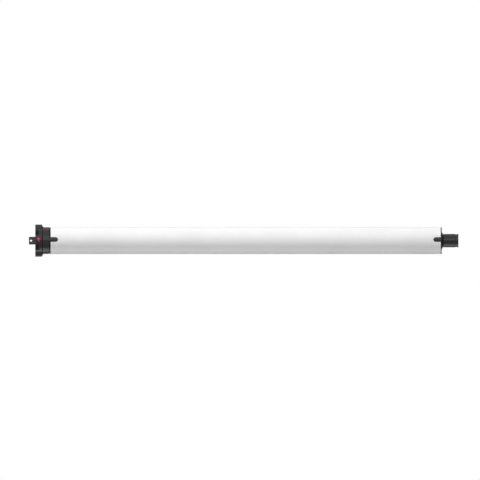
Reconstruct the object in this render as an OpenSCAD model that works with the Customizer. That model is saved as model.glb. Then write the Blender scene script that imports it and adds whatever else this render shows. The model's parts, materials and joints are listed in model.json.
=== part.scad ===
// Battery tubular motor for a roller blind, with a three-stage planetary gearbox.
// The axis of the tube is X. The origin lies on that axis at the outer face of the head.
// The bracket tongue points to -X, the drive shaft to +X, the setting button faces -Y
// and the two ears of the head stand at +Z and -Z. Lengths are in millimetres.

/* [Tube] */
// Outside diameter of the tube
tube_od = 25; // [24.5:0.5:28]
// Wall of the tube
tube_wall = 1; // [0.8:0.1:1.2]
// Length of the tube
tube_len = 362.5; // [356:0.5:420]
// Width of the key in each notch of the tube
key_w = 4.2; // [3.4:0.2:5]
// Length of a key along the tube
key_len = 6.7; // [5.4:0.1:8]

/* [Fits] */
// Clearance of a plug or ring that slides into the tube
slide_fit = 0.1; // [0.05:0.05:0.2]
// Clearance round pins and journals that turn
run_fit = 0.1; // [0.05:0.01:0.15]
// Clearance of a seat that is pressed or moulded
seat_fit = 0.02; // [0.01:0.01:0.05]
// Gap between flat faces that pass each other
face_gap = 0.3; // [0.2:0.05:0.5]

/* [Head] */
// Length of the head cap
cap_len = 6.5; // [6:0.1:9]
// Length of the collar between the cap and the tube
collar_len = 7.8; // [6:0.1:12]
// Length of the head's plug inside the tube
head_plug_len = 13.7; // [10:0.1:20]
// Wall round the inside of the cap
cap_wall = 1.9; // [1.6:0.1:2.2]
// Thickness of the cap's outer wall
cap_end_wall = 1.2; // [1:0.1:1.4]
// Bore through the collar and the plug
head_bore = 19.6; // [19:0.1:20]
// Edge chamfer of the cap and the collar
head_chamfer = 0.4; // [0.2:0.1:0.6]
// Distance of the collar's groove from the tube
collar_rim = 0.8; // [0.5:0.1:1.5]
// Width of the collar's groove
collar_groove_w = 0.6; // [0.4:0.1:1]
// Depth of the collar's groove
collar_groove_depth = 0.6; // [0.3:0.1:0.8]
// Distance from the axis to the tip of an ear
ear_reach = 15; // [13.8:0.1:16]
// Width of an ear
ear_w = 10; // [9:0.1:13]
// Length of the slope behind an ear
ear_ramp = 1.5; // [1:0.1:3]
// Length of the bevel on the sides of an ear, in front of the collar
ear_side = 1; // [0.6:0.1:1.4]
// Angle from the button to the middle of a finger scoop
scoop_angle = 33; // [30:1:36]
// Width of a finger scoop
scoop_w = 6; // [4:0.1:6.5]
// Depth of a finger scoop at the outer face
scoop_depth = 1.5; // [1:0.1:1.6]
// Length of a finger scoop
scoop_len = 4.6; // [3:0.1:5]

/* [Bracket tongue] */
// How far the tongue stands out of the head
tongue_len = 5.9; // [5:0.1:9]
// Height of the tongue
tongue_h = 7; // [6:0.1:8]
// Thickness of the tongue
tongue_t = 3; // [2:0.1:3.6]
// Diameter of the split pin hole
pin_hole_d = 2; // [1.6:0.1:2.4]
// Distance of the split pin hole from the head
pin_hole_x = 3.85; // [2.5:0.05:4.2]
// Height of the root that is trapped in the head
root_h = 11; // [9.5:0.1:11]
// Thickness of the pad behind the tongue's slot
pad_t = 1.2; // [1:0.1:1.6]

/* [Setting button] */
// Diameter of the button
button_d = 4; // [3.6:0.1:4.2]
// Distance of the button from the outer face
button_x = 3.3; // [3.2:0.05:3.5]
// Radius of the button's dome
dome_r = 2.6; // [2.6:0.1:6]
// How far the button stands proud of the cap
button_proud = 0.35; // [0.2:0.05:0.6]
// Travel of the button
button_travel = 0.5; // [0.3:0.05:0.6]
// Collar that keeps the button in, beyond its radius
button_lip = 0.5; // [0.3:0.05:0.6]

/* [Boards] */
// Thickness of the circuit boards
board_t = 1.2; // [0.8:0.1:1.6]
// Distance from the axis to the front of the control board
board_y = 3; // [2.8:0.1:3.2]
// Length of the control board
board_len = 62; // [54:1:80]
// Distance from the axis to the face of the button board
switch_y = 6.5; // [6.3:0.1:6.7]
// Half the width of the button board
switch_half = 7; // [6.9:0.05:7.1]
// Width of the charging socket
usb_w = 8.9; // [8.5:0.1:9.3]
// Height of the charging socket
usb_h = 3.2; // [3:0.1:3.4]
// Length of the charging socket
usb_len = 7.3; // [6.5:0.1:9]
// Wall of the charging socket's shell
usb_wall = 0.3; // [0.2:0.05:0.4]

/* [Battery] */
// Diameter of a cell
cell_d = 18.4; // [18:0.1:18.6]
// Length of a cell with its positive button
cell_len = 65; // [60:0.5:66]
// Wall of the shrink sleeve round the pack
sleeve_wall = 0.3; // [0.2:0.05:0.4]
// Thickness of a nickel link
link_t = 0.2; // [0.15:0.05:0.3]
// Length of a foam spacer round the pack
spacer_len = 8; // [5:1:15]
// Least room for the leads at each end of the pack
lead_room = 8; // [7:0.5:12]
// Diameter of a lead over its insulation
wire_d = 1.3; // [1:0.1:1.4]

/* [Motor] */
// Diameter of the motor can
can_d = 20.4; // [19.6:0.1:20.8]
// Length of the motor can
can_len = 40; // [36:1:44]
// Wall of the motor can
can_wall = 1; // [0.8:0.1:1.2]
// Thickness of the motor magnets
magnet_t = 1.2; // [1:0.1:1.4]
// Gap between the magnets and the armature
air_gap = 0.5; // [0.4:0.05:0.7]
// Diameter of the motor shaft
shaft_d = 2.3; // [2:0.1:2.6]
// Diameter of the motor's bushes
bush_d = 6; // [5.4:0.1:6.6]
// Thickness of the motor's end bell
bell_t = 5; // [4:0.5:6]
// Depth of the encoder cup behind the end bell
cup_len = 5.5; // [5:0.5:8]
// Thickness of the plate between the motor and the gearbox
motor_plate_t = 3; // [2.5:0.1:4]

/* [Gearbox] */
// Module of the gear teeth
gear_m = 0.4; // [0.37:0.01:0.42]
// Teeth on a sun gear
sun_teeth = 12; // [12:3:15]
// Teeth on a planet gear
planet_teeth = 18; // [15:3:18]
// Pressure angle of the teeth
pressure_angle = 20; // [18:1:22]
// Set-back of each flank for backlash
flank_gap = 0.06; // [0.05:0.01:0.08]
// Face width of the gears
gear_w = 6; // [5:0.5:7]
// Thickness of the first two carriers
carrier_t = 2.5; // [2:0.1:3]
// Thickness of the output carrier
out_carrier_t = 3.5; // [3:0.1:5]
// Diameter of the planet pins
planet_pin_d = 2.5; // [2:0.1:2.8]
// Width of the dogs that lock the ring gear
dog_w = 4; // [3:0.1:5]
// Length of the dogs that lock the ring gear
dog_len = 2; // [1.5:0.1:3]

/* [Drive end] */
// Length of the drive end's plug inside the tube
end_plug_len = 12; // [11:0.1:16]
// Thickness of the flange outside the tube
end_flange_t = 1; // [0.6:0.1:1.5]
// Height of the cone round the shaft
end_cone_h = 1; // [0.6:0.1:2]
// Radius at the foot of the cone
end_cone_r = 8.1; // [7.6:0.1:9]
// Diameter of the drive shaft outside the tube
hub_d = 12.5; // [12.4:0.1:13]
// Length of the drive shaft outside the tube
hub_len = 14.3; // [12:0.1:25]
// Diameter of the shaft's journal
journal_d = 12; // [11:0.1:12]
// Wall of the output bush
bush_wall = 1.9; // [1.5:0.1:2.1]
// Length of the output bush
bush_len = 9; // [6:0.5:9]
// Distance from the shaft's end to the retaining groove
groove_set = 1.3; // [1:0.1:3]
// Width of the retaining groove
groove_w = 1.4; // [1:0.1:1.8]
// Depth of the retaining groove
groove_depth = 0.35; // [0.2:0.05:0.6]
// Width of the keyway on the far side of the shaft
keyway_w = 3; // [2:0.1:4]
// Depth of the keyway
keyway_depth = 1.2; // [0.8:0.1:1.5]
// Width across the flats of the shaft's inner hexagon
hex_af = 8; // [7:0.1:8.5]
// Thickness of the shaft clip
clip_t = 0.8; // [0.6:0.1:0.8]

/* [Screws] */
// Shank diameter of the two screws in the cap
cap_screw_d = 2; // [1.8:0.1:2.2]
// Length under the head of a cap screw
cap_screw_len = 9; // [7:0.5:10]
// Distance from the axis to a cap screw
cap_screw_r = 10.7; // [10.5:0.1:11]
// Head diameter of a cap screw
cap_screw_head = 3.6; // [3.2:0.1:3.8]
// Shank diameter of the countersunk screws
csk_d = 2.5; // [2:0.1:2.6]
// Head diameter of the countersunk screws
csk_head = 4.4; // [4:0.1:4.6]
// Depth of a countersunk head
csk_depth = 0.9; // [0.7:0.05:1]

/* [Hidden] */
$fn = 96;
eps = 0.01;
over = 1;
far = 40;

// Radii and stations of the tube and the head
tube_r = tube_od / 2;
tube_ir = tube_r - tube_wall;
plug_r = tube_ir - slide_fit;
bore_r = head_bore / 2;
cavity_r = tube_r - cap_wall;
tube_x0 = cap_len + collar_len;
tube_x1 = tube_x0 + tube_len;
ear_set = 0.45;
ear_corner = 1.7;
ear_x1 = cap_len - ear_set + ear_ramp;
key_fit = 0.1;
key_step = 0.2;
collar_groove_x = tube_x0 - collar_rim - collar_groove_w;
screw_fit = 0.05;
plug_lead = 1;
plug_lead_depth = 0.6;
register_len = 1.2;
register_fit = 0.12;
boss_wall = 1.3;
boss_r = cap_screw_d / 2 + boss_wall;
screw_sink = 1.6;
screw_head_t = 1.4;
screw_head_fit = 0.2;
recess_share = 0.6;
side_screw_angles = [120, -120];
side_screw_set = 7;
csk_top = sqrt(tube_r * tube_r - csk_head * csk_head / 4);

// The tongue's root sits between the pad in the cap and the web in the head body
root_x0 = cap_end_wall + pad_t + seat_fit;
root_x1 = cap_len - seat_fit;
pad_margin = 1.5;
web_t = 3;

// Heights of the button parts, measured from the axis towards the button
lip_r = button_d / 2 + button_lip;
lip_t = 0.6;
lip_top = sqrt(cavity_r * cavity_r - lip_r * lip_r) - run_fit;
button_fit = 0.12;
plunger_d = 1.8;
plunger_in = 0.3;
switch_w = 3.5;
switch_h = 1.8;
plunger_well = plunger_in + button_travel + face_gap;
switch_top = switch_y + switch_h;
link_pin_w = 0.6;
link_pin_z = switch_half - link_pin_w;
link_pin_set = [1.2, 3.2];

// Boards and socket
board_x0 = root_x0;
board_x1 = board_x0 + board_len;
board_back = board_y + board_t;
board_half = sqrt(bore_r * bore_r - board_back * board_back) - run_fit;
button_board_x0 = cap_end_wall + run_fit;
button_board_x1 = cap_len - run_fit;
usb_y = board_back + usb_h / 2;
usb_sink = 0.4;
usb_fit = 0.1;

// Gears: each carrier turns on the same pitch circle
ring_teeth = sun_teeth + 2 * planet_teeth;
centre_r = gear_m * (sun_teeth + planet_teeth) / 2;
tooth_tip = 0.9 * gear_m;
tooth_root = 1.25 * gear_m;
ring_tip_r = gear_m * ring_teeth / 2 - tooth_tip;
carrier_gap = 0.35;
carrier_r = ring_tip_r - carrier_gap;
dog_gap = 0.2;
dog_r = gear_m * ring_teeth / 2 + tooth_root + dog_gap;
dog_angles = [60, 180, 300];
planets = 3;
stages = 3;
ring_phase = 180 * (planet_teeth + 1) / ring_teeth;
function planet_angle(k) = k * 360 / planets;
function planet_phase(k) =
    planet_angle(k) * (1 + sun_teeth / planet_teeth) + 180 + 180 / planet_teeth;

// Stations of the drive end, counted back from the end of the tube
ring_x1 = tube_x1 - end_plug_len;
out_gap = 2 * face_gap;
out_carrier_x0 = ring_x1 - out_gap - out_carrier_t;
stage_len = gear_w + carrier_t + 2 * face_gap;
function planet_x(s) = out_carrier_x0 - face_gap - gear_w - (stages - s) * stage_len;
function carrier_x(s) = planet_x(s) + gear_w + face_gap;
front_gap = 0.5;
sun_end_gap = 0.4;
pin_end = 0.1;
ring_x0 = planet_x(1) - front_gap;
motor_x1 = ring_x0 - motor_plate_t;
motor_x0 = motor_x1 - can_len;
cup_x0 = motor_x0 - bell_t - cup_len;
hall_x0 = cup_x0 - board_t;
dog_fit = 0.1;
hub_gap = 0.2;
hub_x0 = tube_x1 + end_flange_t + end_cone_h + hub_gap;
hub_x1 = hub_x0 + hub_len;
journal_r = journal_d / 2;
clip_gap = 0.1;
clip_fit = 0.05;
clip_depth = 0.7;
clip_stand = 1.4;
output_bush_x0 = ring_x1 + clip_t + 2 * clip_gap;
end_seat_r = journal_r + run_fit + bush_wall + seat_fit;
end_web = 0.3;
hex_fit = 0.05;

// Battery pack, in the middle between the board and the motor, with the cells that find room there
end_paper_t = 0.3;
pack_room = hall_x0 - board_x1 - 2 * lead_room - board_t - link_t - end_paper_t;
cells = floor(pack_room / (cell_len + link_t));
pack_len = board_t + link_t + cells * (cell_len + link_t) + end_paper_t;
pack_x0 = (board_x1 + hall_x0 - pack_len) / 2;
pack_x1 = pack_x0 + pack_len;
sleeve_fit = 0.1;
sleeve_ir = cell_d / 2 + sleeve_fit;
sleeve_r = sleeve_ir + sleeve_wall;
nub_r = 2.8;
nub_len = 1;
function cell_x(i) = pack_x0 + board_t + link_t + i * (cell_len + link_t);
spacer_set = 3;
spacer_x = [
    pack_x0 + spacer_set, (pack_x0 + pack_x1 - spacer_len) / 2, pack_x1 - spacer_len - spacer_set
];
lead_in = 8;
lead_bend = 4;
wire_r = (sleeve_r + tube_ir) / 2;
wire_side = 0.9;
wire_slot_fit = 0.5;
wire_slot = 2 * (wire_side + wire_slot_fit) + wire_d;
wire_touch = 0.05;

// Motor parts
can_r = can_d / 2;
can_ir = can_r - can_wall;
can_face = 1.5;
can_boss_wall = 1;
can_boss_len = 2;
can_boss_r = bush_d / 2 + can_boss_wall;
magnet_fit = 0.05;
magnet_ir = can_ir - magnet_fit - magnet_t;
magnet_half_angle = 62;
armature_r = magnet_ir - air_gap;
armature_set = 13;
armature_end = 7;
armature_x0 = motor_x0 + armature_set;
armature_x1 = motor_x1 - armature_end;
magnet_over = 1;
magnet_x0 = armature_x0 - magnet_over;
magnet_x1 = armature_x1 + magnet_over;
slots = 5;
slot_w = 2.4;
slot_floor_r = 2.6;
pole_t = 1;
coil_end = 3;
commutator_r = 3;
commutator_len = 6;
commutator_set = 2;
brush_w = 3;
brush_len = 4;
brush_set = 3;
brush_tip_r = commutator_r + run_fit;
brush_end_r = 6.5;
cup_wall = 1.4;
encoder_r = 5;
encoder_t = 2.5;
motor_screw_r = 6.6;
motor_screw_d = 2;
motor_screw_head = 3.6;

// Local Z becomes the axis of the tube, local X becomes Y and local Y becomes Z
module along_x(x) {
    translate([x, 0, 0]) rotate([90, 0, 90]) children();
}

// Local Z points out of the tube at an angle from the button's side
module outward(x, angle = 0) {
    translate([x, 0, 0]) rotate([angle, 0, 0]) rotate([90, 0, 0]) children();
}

module rod(x0, x1, r) {
    along_x(x0) cylinder(h = x1 - x0, r = r);
}

module ring(x0, x1, r_in, r_out) {
    along_x(x0) linear_extrude(x1 - x0) difference() {
        circle(r_out);
        circle(r_in);
    }
}

// Profile points are [radius, station]
module turned(profile) {
    along_x(0) rotate_extrude() polygon(profile);
}

module block(x0, x1, y0, y1, z0, z1) {
    translate([x0, y0, z0]) cube([x1 - x0, y1 - y0, z1 - z0]);
}

module stadium(w, h) {
    square([w - h, h], center = true);
    for (s = [-1, 1]) translate([s * (w - h) / 2, 0]) circle(h / 2);
}

// Round-ended tab that starts at x and runs in direction dir, between two radii
module round_tab(x, dir, len, w, r0, r1) {
    outward(x) translate([0, 0, r0]) {
        translate([dir > 0 ? -eps : w / 2 - len, -w / 2, 0]) cube([len - w / 2 + eps, w, r1 - r0]);
        translate([dir * (len - w / 2), 0, 0]) cylinder(h = r1 - r0, d = w);
    }
}

// Key that fills a notch of the tube
module key(x, dir) {
    intersection() {
        round_tab(x, dir, key_len, key_w, plug_r - over, tube_r + over);
        rod(x - far, x + far, tube_r);
    }
}

module notch(x, dir) {
    round_tab(x, dir, key_len + key_fit, key_w + 2 * key_fit, tube_ir - over, tube_r + over);
}

// Cross recess, cut down from z = 0
module cross_recess(w) {
    depth = 0.6;
    slot = 0.6;
    for (a = [0, 90]) rotate(a)
        translate([-w / 2, -slot / 2, -depth]) cube([w, slot, depth + over]);
}

// Countersunk screw with its head's face at z = 0 and its shank towards -z
module csk_screw(len, d, head, depth) {
    difference() {
        union() {
            translate([0, 0, -depth]) cylinder(h = depth, d1 = d, d2 = head);
            translate([0, 0, -len]) cylinder(h = len - depth + eps, d = d);
        }
        cross_recess(head * recess_share);
    }
}

module csk_hole(len, d, head, depth, fit) {
    translate([0, 0, -depth]) cylinder(h = depth, d1 = d + 2 * fit, d2 = head + 2 * fit);
    cylinder(h = far, d = head + 2 * fit);
    translate([0, 0, -len - eps]) cylinder(h = len, d = d + 2 * fit);
}

module side_screw_holes(x, len, fit) {
    for (a = side_screw_angles) outward(x, a) translate([0, 0, csk_top])
        csk_hole(len, csk_d, csk_head, csk_depth, fit);
}

// Outer white tube
module body_tube() {
    color("whitesmoke") difference() {
        ring(tube_x0, tube_x1, tube_ir, tube_r);
        notch(tube_x0, 1);
        notch(tube_x1, -1);
        side_screw_holes(tube_x0 + side_screw_set, csk_depth + tube_wall, screw_fit);
        side_screw_holes(tube_x1 - side_screw_set, csk_depth + tube_wall, screw_fit);
    }
}

// Both ears between two stations, with a sloped back and bevelled sides
module ears(x0, x1) {
    flat_x1 = cap_len - ear_set;
    side_x = cap_len - ear_side;
    half = ear_w / 2;
    back_half = half - (ear_x1 - side_x);
    intersection() {
        turned([
            [0, 0], [ear_reach - head_chamfer, 0], [ear_reach, head_chamfer],
            [ear_reach, flat_x1], [tube_r - eps, ear_x1], [0, ear_x1]
        ]);
        block(x0, x1, -half, half, -far, far);
        translate([0, 0, -far]) linear_extrude(2 * far) polygon([
            [-over, -half], [side_x, -half], [ear_x1, -back_half],
            [ear_x1, back_half], [side_x, half], [-over, half]
        ]);
        along_x(x0) linear_extrude(x1 - x0) rotate(45)
            square(sqrt(2) * (ear_reach + half - ear_corner), center = true);
    }
}

// Wedge that lowers the rim from the outer face inwards
module scoop(angle) {
    outward(0, angle) translate([0, scoop_w / 2, 0]) rotate([90, 0, 0])
        linear_extrude(scoop_w) polygon([
            [-over, tube_r - scoop_depth * (1 + over / scoop_len)], [scoop_len, tube_r],
            [scoop_len, far], [-over, far]
        ]);
}

module tongue_outline(fit) {
    block(-tongue_len, root_x0 + eps, -tongue_t / 2 - fit, tongue_t / 2 + fit,
        -tongue_h / 2 - fit, tongue_h / 2 + fit);
}

module screw_bosses(x0, x1, r) {
    for (s = [-1, 1]) translate([0, 0, s * cap_screw_r]) rod(x0, x1, r);
}

// Hole for the button, wider inside for its lip
module button_well() {
    outward(button_x) {
        cylinder(h = far, d = button_d + 2 * button_fit);
        translate([0, 0, switch_y])
            cylinder(h = lip_top - switch_y + run_fit / 2, r = lip_r + button_fit);
    }
}

// Black cap with the ears, the scoops and the openings
module head_cap() {
    color("#202225") difference() {
        union() {
            difference() {
                union() {
                    turned([
                        [0, 0], [tube_r - head_chamfer, 0], [tube_r, head_chamfer],
                        [tube_r, cap_len - head_chamfer], [tube_r - head_chamfer, cap_len], [0, cap_len]
                    ]);
                    ears(0, cap_len);
                }
                rod(cap_end_wall, cap_len + over, cavity_r);
            }
            intersection() {
                screw_bosses(cap_end_wall / 2, cap_len, boss_r);
                rod(0, cap_len, tube_r);
            }
            block(cap_end_wall / 2, cap_end_wall + pad_t, -tongue_t / 2 - pad_margin,
                board_y - face_gap, -root_h / 2, root_h / 2);
        }
        tongue_outline(seat_fit);
        screw_bosses(-over, cap_len + over, cap_screw_d / 2 + 2 * screw_fit);
        screw_bosses(-over, screw_sink, cap_screw_head / 2 + screw_head_fit);
        for (a = [scoop_angle, -scoop_angle, 180 - scoop_angle, 180 + scoop_angle]) scoop(a);
        button_well();
        translate([0, usb_y, 0]) along_x(-over) linear_extrude(cap_len)
            rotate(90) stadium(usb_w + 2 * usb_fit, usb_h + 2 * usb_fit);
    }
}

// Collar, key and plug in one moulding, with the web that holds the tongue's root
module head_body() {
    plug_x1 = tube_x0 + head_plug_len;
    register_r = cavity_r - register_fit;
    color("#242629") difference() {
        union() {
            difference() {
                union() {
                    turned([
                        [0, cap_len], [tube_r - head_chamfer, cap_len], [tube_r, cap_len + head_chamfer],
                        [tube_r, collar_groove_x], [tube_r - collar_groove_depth, collar_groove_x],
                        [tube_r - collar_groove_depth, collar_groove_x + collar_groove_w],
                        [tube_r, collar_groove_x + collar_groove_w], [tube_r, tube_x0],
                        [plug_r, tube_x0], [plug_r, plug_x1 - plug_lead],
                        [plug_r - plug_lead_depth, plug_x1], [0, plug_x1]
                    ]);
                    ears(cap_len, ear_x1);
                    key(tube_x0, 1);
                    intersection() {
                        block(collar_groove_x, tube_x0, -tube_r, -bore_r, -key_w / 2, key_w / 2);
                        rod(collar_groove_x, tube_x0, tube_r - key_step);
                    }
                    difference() {
                        rod(cap_len - register_len, cap_len + eps, register_r);
                        screw_bosses(0, cap_len, boss_r + register_fit);
                        outward(button_x) cylinder(h = far, r = lip_r + face_gap);
                    }
                }
                rod(0, plug_x1 + over, bore_r);
            }
            intersection() {
                union() {
                    screw_bosses(cap_len, tube_x0, boss_r);
                    block(cap_len, cap_len + web_t, -tongue_t / 2, tongue_t / 2, -tube_r, tube_r);
                }
                rod(cap_len, tube_x0, bore_r + over);
            }
        }
        screw_bosses(cap_len - eps, screw_sink + cap_screw_len + eps, cap_screw_d / 2 + seat_fit);
        side_screw_holes(tube_x0 + side_screw_set, csk_depth + tube_r, seat_fit);
    }
}

// Flat steel tongue whose wider root stays inside the head
module bracket_tongue() {
    corner = 0.5;
    color("#2a2a2c") difference() {
        union() {
            tongue_outline(0);
            block(root_x0, root_x1, -tongue_t / 2, tongue_t / 2, -root_h / 2, root_h / 2);
        }
        translate([-pin_hole_x, 0, 0]) rotate([90, 0, 0])
            cylinder(h = far, d = pin_hole_d, center = true);
        for (s = [-1, 1]) translate([-tongue_len, 0, s * tongue_h / 2]) rotate([0, 45, 0])
            cube([sqrt(2) * corner, far, sqrt(2) * corner], center = true);
    }
}

// Red translucent button with its retaining lip and plunger, along local Z
module setting_button() {
    top = tube_r + button_proud;
    color("crimson") outward(button_x) {
        intersection() {
            cylinder(h = top, d = button_d);
            translate([0, 0, lip_top - eps]) cylinder(h = far, r = far);
            translate([0, 0, top - dome_r]) sphere(dome_r);
        }
        translate([0, 0, lip_top - lip_t]) cylinder(h = lip_t, r = lip_r);
        translate([0, 0, switch_top - plunger_in])
            cylinder(h = lip_top - lip_t - switch_top + plunger_in + eps, d = plunger_d);
    }
}

module cap_screws() {
    color("silver") for (s = [-1, 1]) translate([0, 0, s * cap_screw_r]) difference() {
        union() {
            rod(screw_sink - screw_head_t, screw_sink, cap_screw_head / 2);
            rod(screw_sink - eps, screw_sink + cap_screw_len, cap_screw_d / 2);
        }
        along_x(screw_sink - screw_head_t) rotate([180, 0, 0]) cross_recess(cap_screw_head * recess_share);
    }
}

module side_screws(x, tip_r) {
    color("silver") for (a = side_screw_angles) outward(x, a) translate([0, 0, csk_top])
        csk_screw(csk_top - tip_r, csk_d, csk_head, csk_depth);
}

module head_screws() {
    side_screws(tube_x0 + side_screw_set, bore_r + run_fit);
}

module end_screws() {
    side_screws(tube_x1 - side_screw_set, end_seat_r + end_web + run_fit);
}

// Charging socket: a rounded shell with its contact blade
module usb_socket() {
    back = 1;
    blade_end = 0.4;
    blade_w = usb_w - usb_h + 2 * blade_end;
    blade_h = 0.7;
    color("gainsboro") translate([0, usb_y, 0]) along_x(usb_sink) rotate(90) {
        linear_extrude(usb_len) difference() {
            stadium(usb_w, usb_h);
            stadium(usb_w - 2 * usb_wall, usb_h - 2 * usb_wall);
        }
        translate([0, 0, usb_len - back]) linear_extrude(back) stadium(usb_w, usb_h);
        translate([-blade_w / 2, -blade_h / 2, back]) cube([blade_w, blade_h, usb_len - back]);
    }
}

module control_board() {
    color("darkgreen") block(board_x0, board_x1, board_y, board_back, -board_half, board_half);
}

// Shielded radio on the front of the control board, with its chamfered lid
module radio_module() {
    base_t = 0.8;
    can_h = 2;
    len = 16;
    half = 6;
    lid_set = 1;
    plug_gap = 3;
    color("silver") translate([tube_x0 + head_plug_len + plug_gap, board_y, 0]) {
        block(0, len, -base_t, 0, -half, half);
        block(lid_set, len - lid_set, -base_t - can_h, -base_t, lid_set - half, half - lid_set);
    }
}

// Charger and choke behind the head's plug, two drivers by the leads, as separate solids
module board_parts() {
    chip_h = 1.4;
    chip_gap = 1;
    charger = 6;
    charger_x = tube_x0 + head_plug_len + chip_gap;
    choke_r = 2.5;
    choke_h = 3.5;
    driver = [5, 4];
    driver_x = board_x1 - lead_in - chip_gap - driver.x;
    color("#1c1c1e") {
        block(charger_x, charger_x + charger, board_back, board_back + chip_h, -charger / 2, charger / 2);
        for (z = [-driver.y - chip_gap, chip_gap])
            block(driver_x, driver_x + driver.x, board_back, board_back + chip_h, z, z + driver.y);
        translate([charger_x + charger + chip_gap + choke_r, board_back, 0]) rotate([-90, 0, 0])
            cylinder(h = choke_h, r = choke_r);
    }
}

module button_board() {
    color("darkgreen")
        block(button_board_x0, button_board_x1, -switch_y, board_t - switch_y, -switch_half, switch_half);
}

module tact_switch() {
    color("#303030") outward(button_x) difference() {
        translate([-switch_w / 2, -switch_w / 2, switch_y]) cube([switch_w, switch_w, switch_h]);
        translate([0, 0, switch_top - plunger_well])
            cylinder(h = far, d = plunger_d + 2 * button_fit);
    }
}

module status_lamp() {
    lamp = [1.6, 0.8, 0.6];
    color("white") outward(button_x)
        translate([-lamp.x / 2, switch_w / 2 + face_gap, switch_y]) cube(lamp);
}

// Four pins that join the button board to the control board
module link_pins() {
    color("gold") for (s = [-1, 1], x = link_pin_set)
        translate([button_board_x0 + x, 0, s * link_pin_z])
            block(0, link_pin_w, board_t - switch_y, board_y, -link_pin_w / 2, link_pin_w / 2);
}

// Cells of the pack, each with a crimp groove and the button at its positive end
module battery_cells() {
    r = cell_d / 2;
    edge = 0.5;
    crimp_w = 1.2;
    crimp_depth = 0.4;
    can = cell_len - nub_len;
    crimp_x = can - 4 * crimp_w;
    color("steelblue") for (i = [0:cells - 1]) along_x(cell_x(i)) rotate_extrude() polygon([
        [0, 0], [r - edge, 0], [r, edge], [r, crimp_x - crimp_w / 2], [r - crimp_depth, crimp_x],
        [r, crimp_x + crimp_w / 2], [r, can - edge], [r - edge, can], [nub_r, can],
        [nub_r, cell_len], [0, cell_len]
    ]);
}

module cell_links() {
    link_w = 7;
    color("silver") for (i = [0:cells])
        block(cell_x(i) - link_t, cell_x(i), -link_w / 2, link_w / 2, -link_w / 2, link_w / 2);
}

// Paper rings round the positive buttons and the disc that closes the pack
module cell_insulators() {
    inset = 1;
    color("beige") {
        for (i = [0:cells - 1]) translate([cell_len - nub_len, 0, 0])
            ring(cell_x(i), cell_x(i) + end_paper_t, nub_r + run_fit, cell_d / 2 - inset);
        rod(cell_x(cells), pack_x1, cell_d / 2);
    }
}

module battery_sleeve() {
    color("royalblue") ring(pack_x0, pack_x1, sleeve_ir, sleeve_r);
}

// Foam rings between the pack and the tube, slotted for the leads
module pack_spacers() {
    color("dimgray") for (x = spacer_x) difference() {
        ring(x, x + spacer_len, sleeve_r + seat_fit, plug_r);
        block(x - over, x + spacer_len + over, -wire_slot / 2, wire_slot / 2, 0, far);
    }
}

module protection_board() {
    color("darkgreen") rod(pack_x0, pack_x0 + board_t, cell_d / 2);
}

function unit(v) = v / norm(v);

// Direction of a route at one of its points
function heading(route, i) = unit(route[min(i + 1, len(route) - 1)] - route[max(i - 1, 0)]);

// Round lead swept along a route that never runs straight up
module wire(route) {
    sides = 8;
    last = len(route) - 1;
    ring_points = [
        for (i = [0:last], k = [0:sides - 1])
            let (t = heading(route, i), side = unit(cross(t, [0, 0, 1])), up = cross(side, t),
                a = k * 360 / sides)
            route[i] + wire_d / 2 * (cos(a) * side + sin(a) * up)
    ];
    walls = [
        for (i = [0:last - 1], k = [0:sides - 1])
            let (a = i * sides + k, b = i * sides + (k + 1) % sides)
            each [[a, b, b + sides], [a, b + sides, a + sides]]
    ];
    near_end = [for (k = [sides - 1:-1:0]) k];
    far_end = [for (k = [0:sides - 1]) last * sides + k];
    polyhedron(ring_points, concat(walls, [near_end, far_end]));
}

// Two leads run over the pack to the motor, two short ones join the pack to the board
module wiring() {
    bell_inset = 3;
    board_inset = 2.75;
    pack_lead_z = [-4, 0];
    end_z = can_r - bell_inset;
    start_x = board_x1 - lead_in;
    start_z = board_half - board_inset;
    front_y = board_y - wire_d / 2 - wire_touch;
    back_y = board_back + wire_d / 2 + wire_touch;
    color("firebrick") {
        for (lead = [[-wire_side, front_y], [wire_side, back_y]]) wire([
            [start_x, lead[1], start_z],
            [board_x1 + wire_d, lead[1], start_z],
            [pack_x0 - wire_d, lead[0], wire_r],
            [hall_x0 - 2 * lead_bend, lead[0], wire_r],
            [hall_x0 - lead_bend, lead[0], end_z],
            [hall_x0 - wire_touch, lead[0], end_z]
        ]);
        for (z = pack_lead_z) wire([
            [start_x, front_y, z], [board_x1, front_y, z], [pack_x0 - wire_touch, front_y, z]
        ]);
    }
}

// Steel can with its front wall and boss
module motor_can() {
    color("silver") difference() {
        union() {
            rod(motor_x0, motor_x1, can_r);
            rod(motor_x1 - eps, motor_x1 + can_boss_len, can_boss_r);
        }
        rod(motor_x0 - over, motor_x1 - can_face, can_ir);
        rod(motor_x0, motor_x1 + can_boss_len + over, bush_d / 2 + seat_fit);
        for (s = [-1, 1]) translate([0, 0, s * motor_screw_r])
            rod(motor_x1 - can_face - over, motor_x1 + over, motor_screw_d / 2 + seat_fit);
    }
}

// Plastic end bell with brush holders in front and the encoder cup behind
module motor_end_bell() {
    holder_len = 8;
    holder_t = 1.6;
    spigot_len = 1.5;
    color("#e8e4d8") difference() {
        union() {
            rod(motor_x0 - bell_t, motor_x0, can_r);
            rod(motor_x0 - eps, motor_x0 + spigot_len, can_ir - run_fit);
            ring(cup_x0, motor_x0 - bell_t + eps, can_r - cup_wall, can_r);
            for (s = [-1, 1]) translate([0, 0, s * (brush_end_r + holder_t / 2)])
                block(motor_x0, motor_x0 + holder_len, -brush_w, brush_w, -holder_t / 2, holder_t / 2);
        }
        rod(motor_x0 - bell_t - over, motor_x0 + spigot_len + over, bush_d / 2 + seat_fit);
    }
}

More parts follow.
